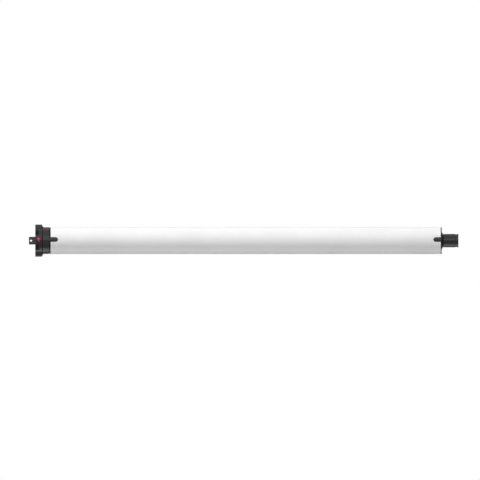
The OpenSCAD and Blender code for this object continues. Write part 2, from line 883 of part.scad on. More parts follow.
module motor_magnets() {
    color("#3b3b40") for (s = [0, 180]) intersection() {
        ring(magnet_x0, magnet_x1, magnet_ir, can_ir - magnet_fit);
        rotate([s, 0, 0]) along_x(magnet_x0) linear_extrude(magnet_x1 - magnet_x0)
            polygon([
                [0, 0], far * [cos(magnet_half_angle), sin(magnet_half_angle)], [far, 0],
                far * [cos(magnet_half_angle), -sin(magnet_half_angle)]
            ]);
    }
}

// Sintered bushes, one in the end bell and one in the can's boss
module motor_bushes() {
    color("#b08d57") {
        ring(motor_x0 - bell_t, motor_x0, shaft_d / 2 + run_fit, bush_d / 2);
        ring(motor_x1 - can_face, motor_x1 + can_boss_len, shaft_d / 2 + run_fit, bush_d / 2);
    }
}

module motor_brushes() {
    x0 = motor_x0 + brush_set;
    color("#2f2f2f") for (s = [0, 180]) rotate([s, 0, 0])
        block(x0, x0 + brush_len, -brush_w / 2, brush_w / 2, brush_tip_r, brush_end_r);
}

module motor_shaft() {
    tail = 1;
    color("silver") rod(motor_x0 - bell_t - encoder_t - tail, planet_x(1) + gear_w - sun_end_gap,
        shaft_d / 2);
}

module slot_shape(fit) {
    for (k = [0:slots - 1]) rotate(k * 360 / slots)
        translate([slot_floor_r + fit, -slot_w / 2 + fit])
            square([armature_r - slot_floor_r - pole_t - 2 * fit, slot_w - 2 * fit]);
}

// Slotted stack, with narrow mouths that open to the air gap
module armature() {
    mouth_w = 0.8;
    color("#6a6d72") along_x(armature_x0) linear_extrude(armature_x1 - armature_x0) difference() {
        circle(armature_r);
        circle(shaft_d / 2 + seat_fit);
        slot_shape(0);
        for (k = [0:slots - 1]) rotate(k * 360 / slots)
            translate([slot_floor_r + slot_w / 2, -mouth_w / 2]) square([armature_r, mouth_w]);
    }
}

// Windings: bars in the slots and rounded end turns
module armature_coils() {
    liner = 0.1;
    edge = 1;
    inner = shaft_d / 2 + 6 * liner;
    outer = armature_r - pole_t - 2 * liner;
    color("#b5651d") {
        along_x(armature_x0 - eps) linear_extrude(armature_x1 - armature_x0 + 2 * eps) slot_shape(liner);
        for (x = [armature_x0 - coil_end, armature_x1]) turned([
            [inner, x], [outer - edge, x], [outer, x + edge], [outer, x + coil_end - edge],
            [outer - edge, x + coil_end], [inner, x + coil_end]
        ]);
    }
}

module commutator() {
    x0 = motor_x0 + commutator_set;
    color("#c77b3b") ring(x0, x0 + commutator_len, shaft_d / 2 + seat_fit, commutator_r);
}

module encoder_magnet() {
    x1 = motor_x0 - bell_t - face_gap;
    color("#444448") ring(x1 - encoder_t, x1, shaft_d / 2 + seat_fit, encoder_r);
}

// Round board that closes the encoder cup, with its sensor facing the magnet's rim
module hall_board() {
    sensor = [1, 4, 3];
    color("darkgreen") {
        rod(hall_x0, cup_x0, can_r);
        block(cup_x0 - eps, cup_x0 + sensor.x, -sensor.y / 2, sensor.y / 2,
            encoder_r - sensor.z / 2, encoder_r + sensor.z / 2);
    }
}

module motor_grommet() {
    set = 4;
    length = 6;
    color("#2b2b2b") ring(motor_x0 + set, motor_x0 + set + length, can_r + seat_fit, plug_r);
}

// Dogs from radius r0 outwards, which lock the ring gear; with a fit, the slots for them
module dogs(x0, x1, r0, fit) {
    for (a = dog_angles) rotate([a, 0, 0])
        block(x0, x1, -dog_w / 2 - fit, dog_w / 2 + fit, r0, tube_r);
}

// Plate that carries the motor and locks into the ring gear
module motor_plate() {
    color("silver") difference() {
        union() {
            rod(motor_x1, ring_x0, plug_r);
            intersection() {
                dogs(ring_x0 - eps, ring_x0 + dog_len, dog_r, 0);
                rod(ring_x0 - over, ring_x0 + far, plug_r);
            }
        }
        rod(motor_x1 - over, motor_x1 + can_boss_len + run_fit, can_boss_r + run_fit);
        rod(motor_x1, ring_x0 + over, bush_d / 2);
        for (s = [-1, 1]) translate([0, 0, s * motor_screw_r]) along_x(ring_x0)
            csk_hole(motor_plate_t, motor_screw_d, motor_screw_head, csk_depth, run_fit);
    }
}

module motor_screws() {
    color("silver") for (s = [-1, 1]) translate([0, 0, s * motor_screw_r]) along_x(ring_x0)
        csk_screw(motor_plate_t + can_face, motor_screw_d, motor_screw_head, csk_depth);
}

// Involute function, in degrees
function involute(angle) = tan(angle) * 180 / PI - angle;

// Half the angle that a tooth takes up at radius r, with its flanks moved out by offset
function half_tooth(teeth, r, offset) =
    let (pitch_r = gear_m * teeth / 2, base_r = pitch_r * cos(pressure_angle))
    90 / teeth + offset / pitch_r * 180 / PI + involute(pressure_angle)
        - involute(acos(min(1, base_r / r)));

// Involute toothed outline: teeth reach tip beyond the pitch circle and root inside it
module toothed_outline(teeth, tip, root, offset) {
    pitch_r = gear_m * teeth / 2;
    base_r = pitch_r * cos(pressure_angle);
    root_r = pitch_r - root;
    tip_r = pitch_r + tip;
    start_r = max(base_r, root_r);
    steps = 3;
    flank = [
        if (root_r < base_r) root_r,
        for (i = [0:steps]) start_r + (tip_r - start_r) * i / steps
    ];
    last = len(flank) - 1;
    polygon([
        for (k = [0:teeth - 1], side = [-1, 1], i = [0:last])
            let (r = flank[side < 0 ? i : last - i],
                a = k * 360 / teeth + side * half_tooth(teeth, r, offset))
            r * [cos(a), sin(a)]
    ]);
}

// One long internal gear that serves all three stages
module ring_gear() {
    color("#d9d4c4") difference() {
        rod(ring_x0, ring_x1, plug_r);
        along_x(ring_x0 - over) linear_extrude(ring_x1 - ring_x0 + 2 * over) rotate(ring_phase)
            toothed_outline(ring_teeth, tooth_root, tooth_tip, flank_gap);
        dogs(ring_x0 - over, ring_x0 + dog_len + dog_fit, ring_tip_r - over, dog_fit);
        dogs(ring_x1 - dog_len - dog_fit, ring_x1 + over, ring_tip_r - over, dog_fit);
    }
}

module sun_outline() {
    toothed_outline(sun_teeth, tooth_tip, tooth_root, -flank_gap);
}

// First sun gear, pressed on the motor shaft
module sun_gear() {
    color("#c9a24b") along_x(planet_x(1)) linear_extrude(gear_w - sun_end_gap) difference() {
        sun_outline();
        circle(shaft_d / 2 + seat_fit);
    }
}

module at_planets() {
    for (k = [0:planets - 1]) rotate(planet_angle(k)) translate([centre_r, 0]) children();
}

// Carrier plate of a stage with the next stage's sun gear on it
module carrier(s) {
    color("#9aa0a6") {
        along_x(carrier_x(s)) linear_extrude(carrier_t) difference() {
            circle(carrier_r);
            at_planets() circle(planet_pin_d / 2 + seat_fit);
        }
        along_x(carrier_x(s) + carrier_t - eps)
            linear_extrude(planet_x(s + 1) + gear_w - sun_end_gap - carrier_x(s) - carrier_t + eps)
                sun_outline();
    }
}

// Last carrier, which turns the shaft through a hexagon
module output_carrier() {
    color("#8d9399") along_x(out_carrier_x0) linear_extrude(out_carrier_t) difference() {
        circle(carrier_r);
        circle(r = hex_af / 2 / cos(30) + hex_fit, $fn = 6);
        at_planets() circle(planet_pin_d / 2 + seat_fit);
    }
}

module planet_pins(s) {
    plate_t = s < stages ? carrier_t : out_carrier_t;
    color("silver") along_x(planet_x(s) - pin_end)
        linear_extrude(carrier_x(s) + plate_t - planet_x(s)) at_planets() circle(planet_pin_d / 2);
}

module planet(s, k) {
    color("#e3dccb") along_x(planet_x(s)) rotate(planet_angle(k)) translate([centre_r, 0])
        rotate(planet_phase(k) - planet_angle(k)) linear_extrude(gear_w) difference() {
            toothed_outline(planet_teeth, tooth_tip, tooth_root, -flank_gap);
            circle(planet_pin_d / 2 + run_fit);
        }
}

// Black cap at the drive end, with its key, the dogs and the seat of the bush
module end_cap() {
    flange_set = 0.1;
    flange_edge = 0.3;
    plug_edge = 0.4;
    cone_rim = 0.3;
    flange_r = tube_r - flange_set;
    flange_x1 = tube_x1 + end_flange_t;
    cone_x1 = flange_x1 + end_cone_h;
    color("#202225") difference() {
        union() {
            turned([
                [0, ring_x1], [plug_r - plug_edge, ring_x1], [plug_r, ring_x1 + plug_edge],
                [plug_r, tube_x1], [flange_r, tube_x1], [flange_r, flange_x1 - flange_edge],
                [flange_r - flange_edge, flange_x1], [end_cone_r, flange_x1],
                [hub_d / 2 + cone_rim, cone_x1], [0, cone_x1]
            ]);
            key(tube_x1, -1);
            intersection() {
                dogs(ring_x1 - dog_len, ring_x1 + over, dog_r, 0);
                rod(ring_x1 - far, ring_x1 + over, plug_r - plug_edge);
            }
        }
        rod(ring_x1 - far, output_bush_x0 + bush_len, end_seat_r);
        rod(ring_x1, cone_x1 + over, journal_r + run_fit);
        side_screw_holes(tube_x1 - side_screw_set, csk_top - end_seat_r - end_web, seat_fit);
    }
}

module output_bush() {
    color("#b08d57") ring(output_bush_x0, output_bush_x0 + bush_len,
        journal_r + run_fit, journal_r + run_fit + bush_wall);
}

// Snap ring that keeps the shaft from coming out
module shaft_clip() {
    mouth = 6;
    x1 = output_bush_x0 - clip_gap;
    color("silver") difference() {
        ring(x1 - clip_t, x1, journal_r - clip_depth, journal_r + clip_stand);
        block(0, tube_x1, -mouth / 2, mouth / 2, 0, far);
    }
}

// Drive shaft: hexagon, journal, hub with its retaining groove and keyway
module output_shaft() {
    r = hub_d / 2;
    clip_r = journal_r - clip_depth - clip_fit;
    clip_x1 = output_bush_x0 - clip_gap + clip_fit;
    clip_x0 = clip_x1 - clip_t - 2 * clip_fit;
    root_x = ring_x1 - out_gap + hex_fit;
    groove_x1 = hub_x1 - groove_set;
    groove_x0 = groove_x1 - groove_w;
    journal_edge = 0.1;
    end_edge = 0.2;
    neck = 0.2;
    keyway_set = 2;
    color("#1f2124") difference() {
        union() {
            along_x(out_carrier_x0) linear_extrude(out_carrier_t + hex_fit + eps)
                circle(r = hex_af / 2 / cos(30), $fn = 6);
            turned([
                [0, root_x], [journal_r - journal_edge, root_x], [journal_r, root_x + journal_edge],
                [journal_r, clip_x0], [clip_r, clip_x0], [clip_r, clip_x1], [journal_r, clip_x1],
                [journal_r, hub_x0], [r - neck, hub_x0], [r - neck, hub_x0 + 2 * neck],
                [r, hub_x0 + 3 * neck], [r, groove_x0], [r - groove_depth, groove_x0],
                [r - groove_depth, groove_x1], [r, groove_x1], [r, hub_x1 - end_edge],
                [r - end_edge, hub_x1], [0, hub_x1]
            ]);
        }
        block(hub_x0 + keyway_set, hub_x1 + over, r - keyway_depth, r + over,
            -keyway_w / 2, keyway_w / 2);
    }
}

body_tube();
head_cap();
head_body();
bracket_tongue();
setting_button();
cap_screws();
head_screws();
usb_socket();
control_board();
radio_module();
board_parts();
button_board();
tact_switch();
status_lamp();
link_pins();
battery_cells();
cell_links();
cell_insulators();
battery_sleeve();
pack_spacers();
protection_board();
wiring();
motor_can();
motor_end_bell();
motor_magnets();
motor_bushes();
motor_brushes();
motor_shaft();
armature();
armature_coils();
commutator();
encoder_magnet();
hall_board();
motor_grommet();
motor_plate();
motor_screws();
ring_gear();
sun_gear();
for (s = [1, 2]) carrier(s);
output_carrier();
for (s = [1:stages]) planet_pins(s);
for (s = [1:stages], k = [0:planets - 1])
    planet(s, k);
end_cap();
end_screws();
output_bush();
shaft_clip();
output_shaft();
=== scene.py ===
import json
import math

import bpy
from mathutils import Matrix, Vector


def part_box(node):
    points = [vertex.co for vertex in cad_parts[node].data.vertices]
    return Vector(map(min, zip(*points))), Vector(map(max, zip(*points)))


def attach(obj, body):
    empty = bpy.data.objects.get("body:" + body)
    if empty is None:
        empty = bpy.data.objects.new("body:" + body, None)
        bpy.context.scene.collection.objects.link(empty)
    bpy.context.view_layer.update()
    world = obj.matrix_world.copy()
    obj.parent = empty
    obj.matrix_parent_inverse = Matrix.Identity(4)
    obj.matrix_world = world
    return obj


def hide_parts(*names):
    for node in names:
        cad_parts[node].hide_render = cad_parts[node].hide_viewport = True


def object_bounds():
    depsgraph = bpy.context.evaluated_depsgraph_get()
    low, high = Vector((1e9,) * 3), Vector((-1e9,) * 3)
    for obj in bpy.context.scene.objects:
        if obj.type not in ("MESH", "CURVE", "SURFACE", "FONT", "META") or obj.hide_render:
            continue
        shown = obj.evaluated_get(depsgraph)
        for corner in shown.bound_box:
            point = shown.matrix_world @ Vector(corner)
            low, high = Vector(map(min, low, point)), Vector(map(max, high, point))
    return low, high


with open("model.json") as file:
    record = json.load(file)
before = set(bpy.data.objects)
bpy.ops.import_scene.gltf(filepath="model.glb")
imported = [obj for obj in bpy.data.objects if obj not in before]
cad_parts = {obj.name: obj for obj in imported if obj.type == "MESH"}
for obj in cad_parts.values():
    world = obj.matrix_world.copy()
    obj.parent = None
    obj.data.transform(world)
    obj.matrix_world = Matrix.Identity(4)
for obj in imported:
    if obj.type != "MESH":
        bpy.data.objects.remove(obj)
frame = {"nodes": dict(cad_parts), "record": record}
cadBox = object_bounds()
nodes = frame["nodes"]
mm = 0.001
print("frame loaded:", len(nodes), "nodes")

# camera: square from the side and five degrees from below, with no perspective
viewSetup = {
    "pixel": 0.9294 * mm,      # one pixel of the 480 pixel frame
    "pixelsAcross": 480,
    "middle": (190.3 * mm, 0.61 * mm),  # along the tube, above its axis
    "tilt": -5.0,
    "distance": 1.2,
}


def addCamera():
    tilt = math.radians(viewSetup["tilt"])
    camData = bpy.data.cameras.new("studioCamera")
    camData.type = 'ORTHO'
    camData.ortho_scale = viewSetup["pixel"] * viewSetup["pixelsAcross"]
    camera = bpy.data.objects.new("studioCamera", camData)
    bpy.context.scene.collection.objects.link(camera)
    middleX, middleUp = viewSetup["middle"]
    back = Vector((0, -math.cos(tilt), math.sin(tilt)))
    up = Vector((0, math.sin(tilt), math.cos(tilt)))
    camera.location = Vector((middleX, 0, 0)) + up * middleUp + back * viewSetup["distance"]
    camera.rotation_euler = (math.pi / 2 - tilt, 0, 0)
    bpy.context.scene.camera = camera


addCamera()
bpy.context.scene.view_settings.view_transform = 'Standard'
print("camera set")


# small helpers for material nodes
noiseBand = (0.3, 0.7)  # most of a noise texture lies between these


def newMaterial(name):
    mat = bpy.data.materials.new(name)
    mat.use_nodes = True
    tree = mat.node_tree
    shader = tree.nodes["Principled BSDF"]
    return mat, tree, shader


def objectNoise(tree, scale, detail=4.0, stretch=(1, 1, 1)):
    coords = tree.nodes.new("ShaderNodeTexCoord")
    mapping = tree.nodes.new("ShaderNodeMapping")
    mapping.inputs["Scale"].default_value = stretch
    noise = tree.nodes.new("ShaderNodeTexNoise")
    noise.inputs["Scale"].default_value = scale
    noise.inputs["Detail"].default_value = detail
    tree.links.new(coords.outputs["Object"], mapping.inputs["Vector"])
    tree.links.new(mapping.outputs["Vector"], noise.inputs["Vector"])
    return noise.outputs["Fac"]


def spread(tree, factor, low, high):
    span = tree.nodes.new("ShaderNodeMapRange")
    span.inputs["From Min"].default_value, span.inputs["From Max"].default_value = noiseBand
    span.inputs["To Min"].default_value = low
    span.inputs["To Max"].default_value = high
    tree.links.new(factor, span.inputs["Value"])
    return span.outputs["Result"]


def blendColours(tree, factor, dark, light):
    ramp = tree.nodes.new("ShaderNodeValToRGB")
    for stop, position, colour in zip(ramp.color_ramp.elements, noiseBand, (dark, light)):
        stop.position = position
        stop.color = (*colour, 1)
    tree.links.new(factor, ramp.inputs["Fac"])
    return ramp.outputs["Color"]


def addBump(tree, shader, factor, strength, height):
    bump = tree.nodes.new("ShaderNodeBump")
    bump.inputs["Strength"].default_value = strength
    bump.inputs["Distance"].default_value = height
    tree.links.new(factor, bump.inputs["Height"])
    tree.links.new(bump.outputs["Normal"], shader.inputs["Normal"])


def finishMaterial(name, dark, light, rough, patch, grain=None, metal=0.0, stretch=(1, 1, 1), specular=0.5):
    # patch is the size of the colour patches, grain is (size, strength, height) of the surface, in mm
    mat, tree, shader = newMaterial(name)
    patches = objectNoise(tree, 1 / (patch * mm), stretch=stretch)
    tree.links.new(blendColours(tree, patches, dark, light), shader.inputs["Base Color"])
    fine = objectNoise(tree, 1 / ((grain[0] if grain else patch / 4) * mm), detail=2, stretch=stretch)
    tree.links.new(spread(tree, fine, *rough), shader.inputs["Roughness"])
    if grain:
        addBump(tree, shader, fine, grain[1], grain[2] * mm)
    shader.inputs["Metallic"].default_value = metal
    shader.inputs["Specular IOR Level"].default_value = specular
    return mat


coatWhite = finishMaterial("tubeWhiteCoat", (0.83, 0.83, 0.83), (0.87, 0.87, 0.87), (0.29, 0.37), 30,
                           grain=(0.7, 0.06, 0.02), specular=0.15)
mouldBlack = finishMaterial("headBlackMoulding", (0.006, 0.006, 0.0065), (0.0085, 0.0085, 0.009),
                            (0.17, 0.24), 6, grain=(0.25, 0.06, 0.01), specular=0.44)
shaftBlack = finishMaterial("shaftBlackSatin", (0.006, 0.006, 0.0065), (0.0085, 0.0085, 0.009),
                            (0.14, 0.19), 5, grain=(0.3, 0.05, 0.01), specular=0.44)
tongueBlack = finishMaterial("tongueBlackOxide", (0.026, 0.026, 0.028), (0.038, 0.038, 0.041),
                             (0.38, 0.50), 4, grain=(0.4, 0.10, 0.01), specular=0.4)
buttonRed = finishMaterial("buttonClearRed", (0.40, 0.018, 0.036), (0.50, 0.028, 0.052), (0.08, 0.12), 2,
                           grain=(0.3, 0.02, 0.01))
screwZinc = finishMaterial("screwZinc", (0.46, 0.46, 0.47), (0.62, 0.62, 0.63), (0.28, 0.42), 1.2,
                           grain=(0.15, 0.12, 0.01), metal=1.0)
socketMetal = finishMaterial("socketMetal", (0.52, 0.52, 0.53), (0.66, 0.66, 0.67), (0.25, 0.38), 2.0,
                             grain=(0.2, 0.08, 0.01), metal=1.0, stretch=(0.2, 1, 1))
backdropGrey = finishMaterial("backdropGrey", (0.20, 0.20, 0.20), (0.26, 0.26, 0.26), (0.8, 0.9), 20)

# finishes of what is inside the tube, by the record's slot:
# dark, light, roughness, patch, grain, and where they matter metal and stretch
innerFinishes = {
    "shield_metal": ((0.60, 0.60, 0.61), (0.74, 0.74, 0.75), (0.22, 0.36), 3,
                     (0.3, 0.06, 0.01), 1, (0.2, 1, 1)),
    "chip_black": ((0.028, 0.028, 0.030), (0.045, 0.045, 0.047), (0.42, 0.58), 1.5, (0.12, 0.15, 0.01)),
    "lamp_white": ((0.84, 0.82, 0.72), (0.93, 0.91, 0.84), (0.12, 0.25), 0.8, (0.3, 0.04, 0.01)),
    "contact_gold": ((0.72, 0.54, 0.20), (0.86, 0.68, 0.30), (0.18, 0.30), 0.6, (0.1, 0.08, 0.01), 1),
    "nickel": ((0.58, 0.56, 0.52), (0.70, 0.68, 0.64), (0.24, 0.40), 2.5,
               (0.25, 0.08, 0.01), 1, (1, 0.25, 1)),
    "paper": ((0.72, 0.66, 0.50), (0.86, 0.81, 0.68), (0.75, 0.90), 1.2,
              (0.15, 0.25, 0.02), 0, (1, 1, 0.3)),
    "sleeve_blue": ((0.060, 0.130, 0.400), (0.090, 0.180, 0.490), (0.24, 0.38), 6,
                    (1.6, 0.12, 0.05), 0, (0.4, 1, 1)),
    "foam_grey": ((0.11, 0.11, 0.115), (0.20, 0.20, 0.21), (0.85, 0.95), 0.5, (0.35, 0.60, 0.12)),
    "lead_red": ((0.44, 0.045, 0.040), (0.55, 0.075, 0.060), (0.30, 0.42), 2,
                 (0.4, 0.08, 0.01), 0, (0.3, 1, 1)),
    "motor_steel": ((0.47, 0.47, 0.48), (0.60, 0.60, 0.61), (0.26, 0.42), 5,
                    (0.4, 0.10, 0.01), 1, (0.15, 1, 1)),
    "bell_plastic": ((0.74, 0.71, 0.62), (0.84, 0.81, 0.73), (0.36, 0.50), 3, (0.3, 0.08, 0.01)),
    "magnet": ((0.095, 0.095, 0.10), (0.15, 0.15, 0.155), (0.50, 0.66), 1.5, (0.15, 0.25, 0.02)),
    "bronze": ((0.44, 0.31, 0.15), (0.58, 0.43, 0.24), (0.34, 0.50), 1.0, (0.12, 0.25, 0.02), 1),
    "carbon": ((0.035, 0.035, 0.036), (0.065, 0.065, 0.067), (0.48, 0.66), 0.8, (0.1, 0.25, 0.02)),
    "shaft_steel": ((0.54, 0.54, 0.55), (0.66, 0.66, 0.67), (0.16, 0.30), 2,
                    (0.12, 0.08, 0.005), 1, (4, 1, 1)),
    "rubber_black": ((0.030, 0.030, 0.030), (0.050, 0.050, 0.050), (0.62, 0.80), 2, (0.2, 0.20, 0.02)),
    "gear_resin": ((0.72, 0.68, 0.57), (0.82, 0.78, 0.69), (0.32, 0.46), 2.5, (0.2, 0.08, 0.01)),
    "gear_brass": ((0.60, 0.44, 0.16), (0.72, 0.56, 0.26), (0.22, 0.36), 1.5,
                   (0.12, 0.08, 0.01), 1, (3, 1, 1)),
    "carrier_steel": ((0.38, 0.40, 0.42), (0.50, 0.52, 0.54), (0.32, 0.48), 1.5, (0.15, 0.15, 0.01), 1),
}
boardSize = {"track": 0.9, "gap": 0.12, "tracks": 4, "stagger": 2.2, "patchShade": 1.12, "grain": 0.4,
             "rough": (0.22, 0.36), "bump": 0.25, "bumpHeight": 0.03,
             "mask": (0.022, 0.165, 0.072), "copper": (0.045, 0.265, 0.115)}
bandLook = {"distortion": 0.4, "detailScale": 2.0, "bump": 0.5, "bumpShare": 0.25}
coilSize = {"wire": 0.28, "dark": (0.40, 0.17, 0.06), "light": (0.70, 0.37, 0.16)}
stackSize = {"sheet": 0.5, "dark": (0.20, 0.20, 0.205), "light": (0.36, 0.36, 0.37)}
cellSize = {"band": 9.0, "dark": (0.115, 0.255, 0.480), "light": (0.165, 0.335, 0.600)}


def boardMaterial():
    # green mask over copper tracks
    mat, tree, shader = newMaterial("boardGreenMask")
    coords = tree.nodes.new("ShaderNodeTexCoord")
    brick = tree.nodes.new("ShaderNodeTexBrick")
    brick.inputs["Scale"].default_value = 1 / (boardSize["track"] * boardSize["tracks"] * mm)
    brick.inputs["Mortar Size"].default_value = boardSize["gap"] / boardSize["tracks"]
    brick.inputs["Brick Width"].default_value = boardSize["stagger"]
    brick.inputs["Row Height"].default_value = 1 / boardSize["tracks"]
    mask, copper = boardSize["mask"], boardSize["copper"]
    brick.inputs["Color1"].default_value = (*mask, 1)
    brick.inputs["Color2"].default_value = (*[c * boardSize["patchShade"] for c in mask], 1)
    brick.inputs["Mortar"].default_value = (*copper, 1)
    tree.links.new(coords.outputs["Object"], brick.inputs["Vector"])
    tree.links.new(brick.outputs["Color"], shader.inputs["Base Color"])
    fine = objectNoise(tree, 1 / (boardSize["grain"] * mm))
    tree.links.new(spread(tree, fine, *boardSize["rough"]), shader.inputs["Roughness"])
    addBump(tree, shader, brick.outputs["Fac"], boardSize["bump"], boardSize["bumpHeight"] * mm)
    return mat


def bandMaterial(name, size, pitch, rough, metal):
    # even bands along the tube: wire turns, stacked sheets or the seam of a wrap
    mat, tree, shader = newMaterial(name)
    coords = tree.nodes.new("ShaderNodeTexCoord")
    wave = tree.nodes.new("ShaderNodeTexWave")
    wave.bands_direction = 'X'
    wave.wave_profile = 'SIN'
    wave.inputs["Scale"].default_value = 1 / (pitch * mm) * math.pi / 10  # at scale 1, a band is pi / 10 wide
    wave.inputs["Distortion"].default_value = bandLook["distortion"]
    wave.inputs["Detail Scale"].default_value = bandLook["detailScale"]
    tree.links.new(coords.outputs["Object"], wave.inputs["Vector"])
    bands = blendColours(tree, wave.outputs["Fac"], size["dark"], size["light"])
    tree.links.new(bands, shader.inputs["Base Color"])
    tree.links.new(spread(tree, objectNoise(tree, 1 / (pitch * mm)), *rough), shader.inputs["Roughness"])
    addBump(tree, shader, wave.outputs["Fac"], bandLook["bump"], pitch * bandLook["bumpShare"] * mm)
    shader.inputs["Metallic"].default_value = metal
    return mat


innerMaterials = {slot: finishMaterial(slot.replace("_", " ").title().replace(" ", ""), *setup)
                  for slot, setup in innerFinishes.items()}
innerMaterials["board_green"] = boardMaterial()
innerMaterials["copper"] = bandMaterial("coilCopper", coilSize, coilSize["wire"], (0.20, 0.34), 1)
innerMaterials["core_steel"] = bandMaterial("stackedSheets", stackSize, stackSize["sheet"], (0.4, 0.55), 1)
innerMaterials["cell_blue"] = bandMaterial("cellWrap", cellSize, cellSize["band"], (0.18, 0.30), 0)
innerMaterials["screw_steel"] = screwZinc
innerMaterials["socket_metal"] = socketMetal

for row in frame["record"]["subparts"]:
    slots = nodes[row["node"]].data.materials
    slots.clear()
    slots.append(innerMaterials.get(row["material_slot"], mouldBlack))
print("materials set")


# modelling helpers: sizes in millimetres, places in the frame's own axes
tiny = 0.001       # for telling edges apart and merging points
faceOn = 0.9       # least share of a normal along the axis that a face looks to
smoothBelow = 35   # degrees between faces that are shaded as one


def clearSelection():
    bpy.ops.object.select_all(action='DESELECT')


def makeActive(piece):
    clearSelection()
    piece.select_set(True)
    bpy.context.view_layer.objects.active = piece


def applyPlace(piece):
    makeActive(piece)
    bpy.ops.object.transform_apply(location=True, rotation=True, scale=True)


def turned(name, outline, sides=96, closed=True):
    # a ring is pulled along the outline's (x, radius) points; an open outline gets its ends filled
    clearSelection()
    x, radius = outline[0]
    bpy.ops.mesh.primitive_circle_add(vertices=sides, radius=radius * mm, location=(x * mm, 0, 0),
                                      rotation=(0, math.pi / 2, 0))
    piece = bpy.context.object
    piece.name = name
    applyPlace(piece)
    bpy.ops.object.mode_set(mode='EDIT')
    bpy.ops.mesh.select_mode(type='EDGE')
    bpy.ops.mesh.select_all(action='SELECT')
    for nextX, nextRadius in outline[1:] + (outline[:1] if closed else []):
        bpy.ops.mesh.extrude_region_move(TRANSFORM_OT_translate={"value": ((nextX - x) * mm, 0, 0)})
        grow = nextRadius / radius
        bpy.ops.transform.resize(value=(1, grow, grow), center_override=(nextX * mm, 0, 0))
        x, radius = nextX, nextRadius
    bpy.ops.mesh.select_all(action='SELECT')
    bpy.ops.mesh.remove_doubles(threshold=tiny * mm)
    if not closed:
        bpy.ops.mesh.select_all(action='DESELECT')
        bpy.ops.mesh.select_non_manifold()
        bpy.ops.mesh.fill_holes(sides=0)
    bpy.ops.mesh.select_all(action='SELECT')
    bpy.ops.mesh.normals_make_consistent(inside=False)
    bpy.ops.object.mode_set(mode='OBJECT')
    return piece


def block(name, low, high):
    low, high = Vector(low), Vector(high)
    clearSelection()
    bpy.ops.mesh.primitive_cube_add(size=1, location=(low + high) / 2 * mm)
    piece = bpy.context.object
    piece.name = name
    piece.scale = (high - low) * mm
    applyPlace(piece)
    return piece


def pickEdges(piece, test):
    # leaves the piece in edit mode with the edges that pass the test selected
    makeActive(piece)
    bpy.ops.object.mode_set(mode='EDIT')
    bpy.ops.mesh.select_mode(type='EDGE')
    bpy.ops.mesh.select_all(action='DESELECT')
    bpy.ops.object.mode_set(mode='OBJECT')
    points = piece.data.vertices
    for edge in piece.data.edges:
        a, b = (points[i].co / mm for i in edge.vertices)
        edge.select = test(a, b)
    bpy.ops.object.mode_set(mode='EDIT')


def pickFaces(piece, test):
    # the same with faces, by middle and normal
    makeActive(piece)
    bpy.ops.object.mode_set(mode='EDIT')
    bpy.ops.mesh.select_mode(type='FACE')
    bpy.ops.mesh.select_all(action='DESELECT')
    bpy.ops.object.mode_set(mode='OBJECT')
    for face in piece.data.polygons:
        face.select = test(face.center / mm, face.normal)
    bpy.ops.object.mode_set(mode='EDIT')


def along(axis, a, b):
    # does this edge run along that axis
    return all(abs(a[i] - b[i]) < tiny for i in range(3) if i != axis)


def ringAt(a, b, x, radius):
    # is this edge part of the circle at that station
    return all(abs(p.x - x) < tiny and abs(math.hypot(p.y, p.z) - radius) < 2 * tiny for p in (a, b))


def bevelPicked(offset, segments=1):
    bpy.ops.mesh.bevel(offset=offset * mm, segments=segments, affect='EDGES', clamp_overlap=False)
    bpy.ops.mesh.select_all(action='SELECT')
    bpy.ops.mesh.remove_doubles(threshold=tiny * mm)
    bpy.ops.object.mode_set(mode='OBJECT')


def tab(name, start, end, width, inner, outer):
    # round-ended block on the button's side, between two distances from the axis
    piece = block(name, (min(start, end), -outer, -width / 2), (max(start, end), -inner, width / 2))
    pickEdges(piece, lambda a, b: along(1, a, b) and abs(a.x - end) < tiny)
    bevelPicked(width / 2, segments=12)
    return piece


def useModifier(piece, kind, **settings):
    mod = piece.modifiers.new(kind.lower(), kind)
    for setting, value in settings.items():
        setattr(mod, setting, value)
    makeActive(piece)
    bpy.ops.object.modifier_apply(modifier=mod.name)


def combine(piece, other, mode):
    useModifier(piece, 'BOOLEAN', operation=mode, object=other, solver='EXACT')
    bpy.data.objects.remove(other, do_unlink=True)


def carve(piece, *cutters):
    for cutter in cutters:
        combine(piece, cutter, 'DIFFERENCE')


def weld(piece, *others):
    for other in others:
        combine(piece, other, 'UNION')


def trim(piece, *others):
    for other in others:
        combine(piece, other, 'INTERSECT')


def softenEdges(piece, width, segments=2, angle=40):
    useModifier(piece, 'BEVEL', width=width * mm, segments=segments, limit_method='ANGLE',
                angle_limit=math.radians(angle), use_clamp_overlap=True)


def rod(name, start, end, radius, centre=(0, 0), sides=48):
    piece = turned(name, [(start, radius), (end, radius)], sides, closed=False)
    piece.location = (0, centre[0] * mm, centre[1] * mm)
    applyPlace(piece)
    return piece


def aim(piece, place, direction):
    # turns what was made along X to another direction, from a place on the frame
    piece.rotation_euler = Vector(direction).to_track_quat('X', 'Z').to_euler()
    piece.location = Vector(place) * mm
    applyPlace(piece)
    return piece


def roundAxis(piece, angle):
    # moves a piece made on the button's side round the tube's axis
    piece.rotation_euler = (math.radians(angle), 0, 0)
    applyPlace(piece)
    return piece


def outward(angle):
    # direction away from the axis, counted from the button's side
    turn = math.radians(angle)
    return Vector((0, -math.cos(turn), -math.sin(turn)))


def copyPiece(piece):
    makeActive(piece)
    bpy.ops.object.duplicate()
    return bpy.context.object


def joinPieces(first, *others):
    makeActive(first)
    for other in others:
        other.select_set(True)
    bpy.ops.object.join()
    return first


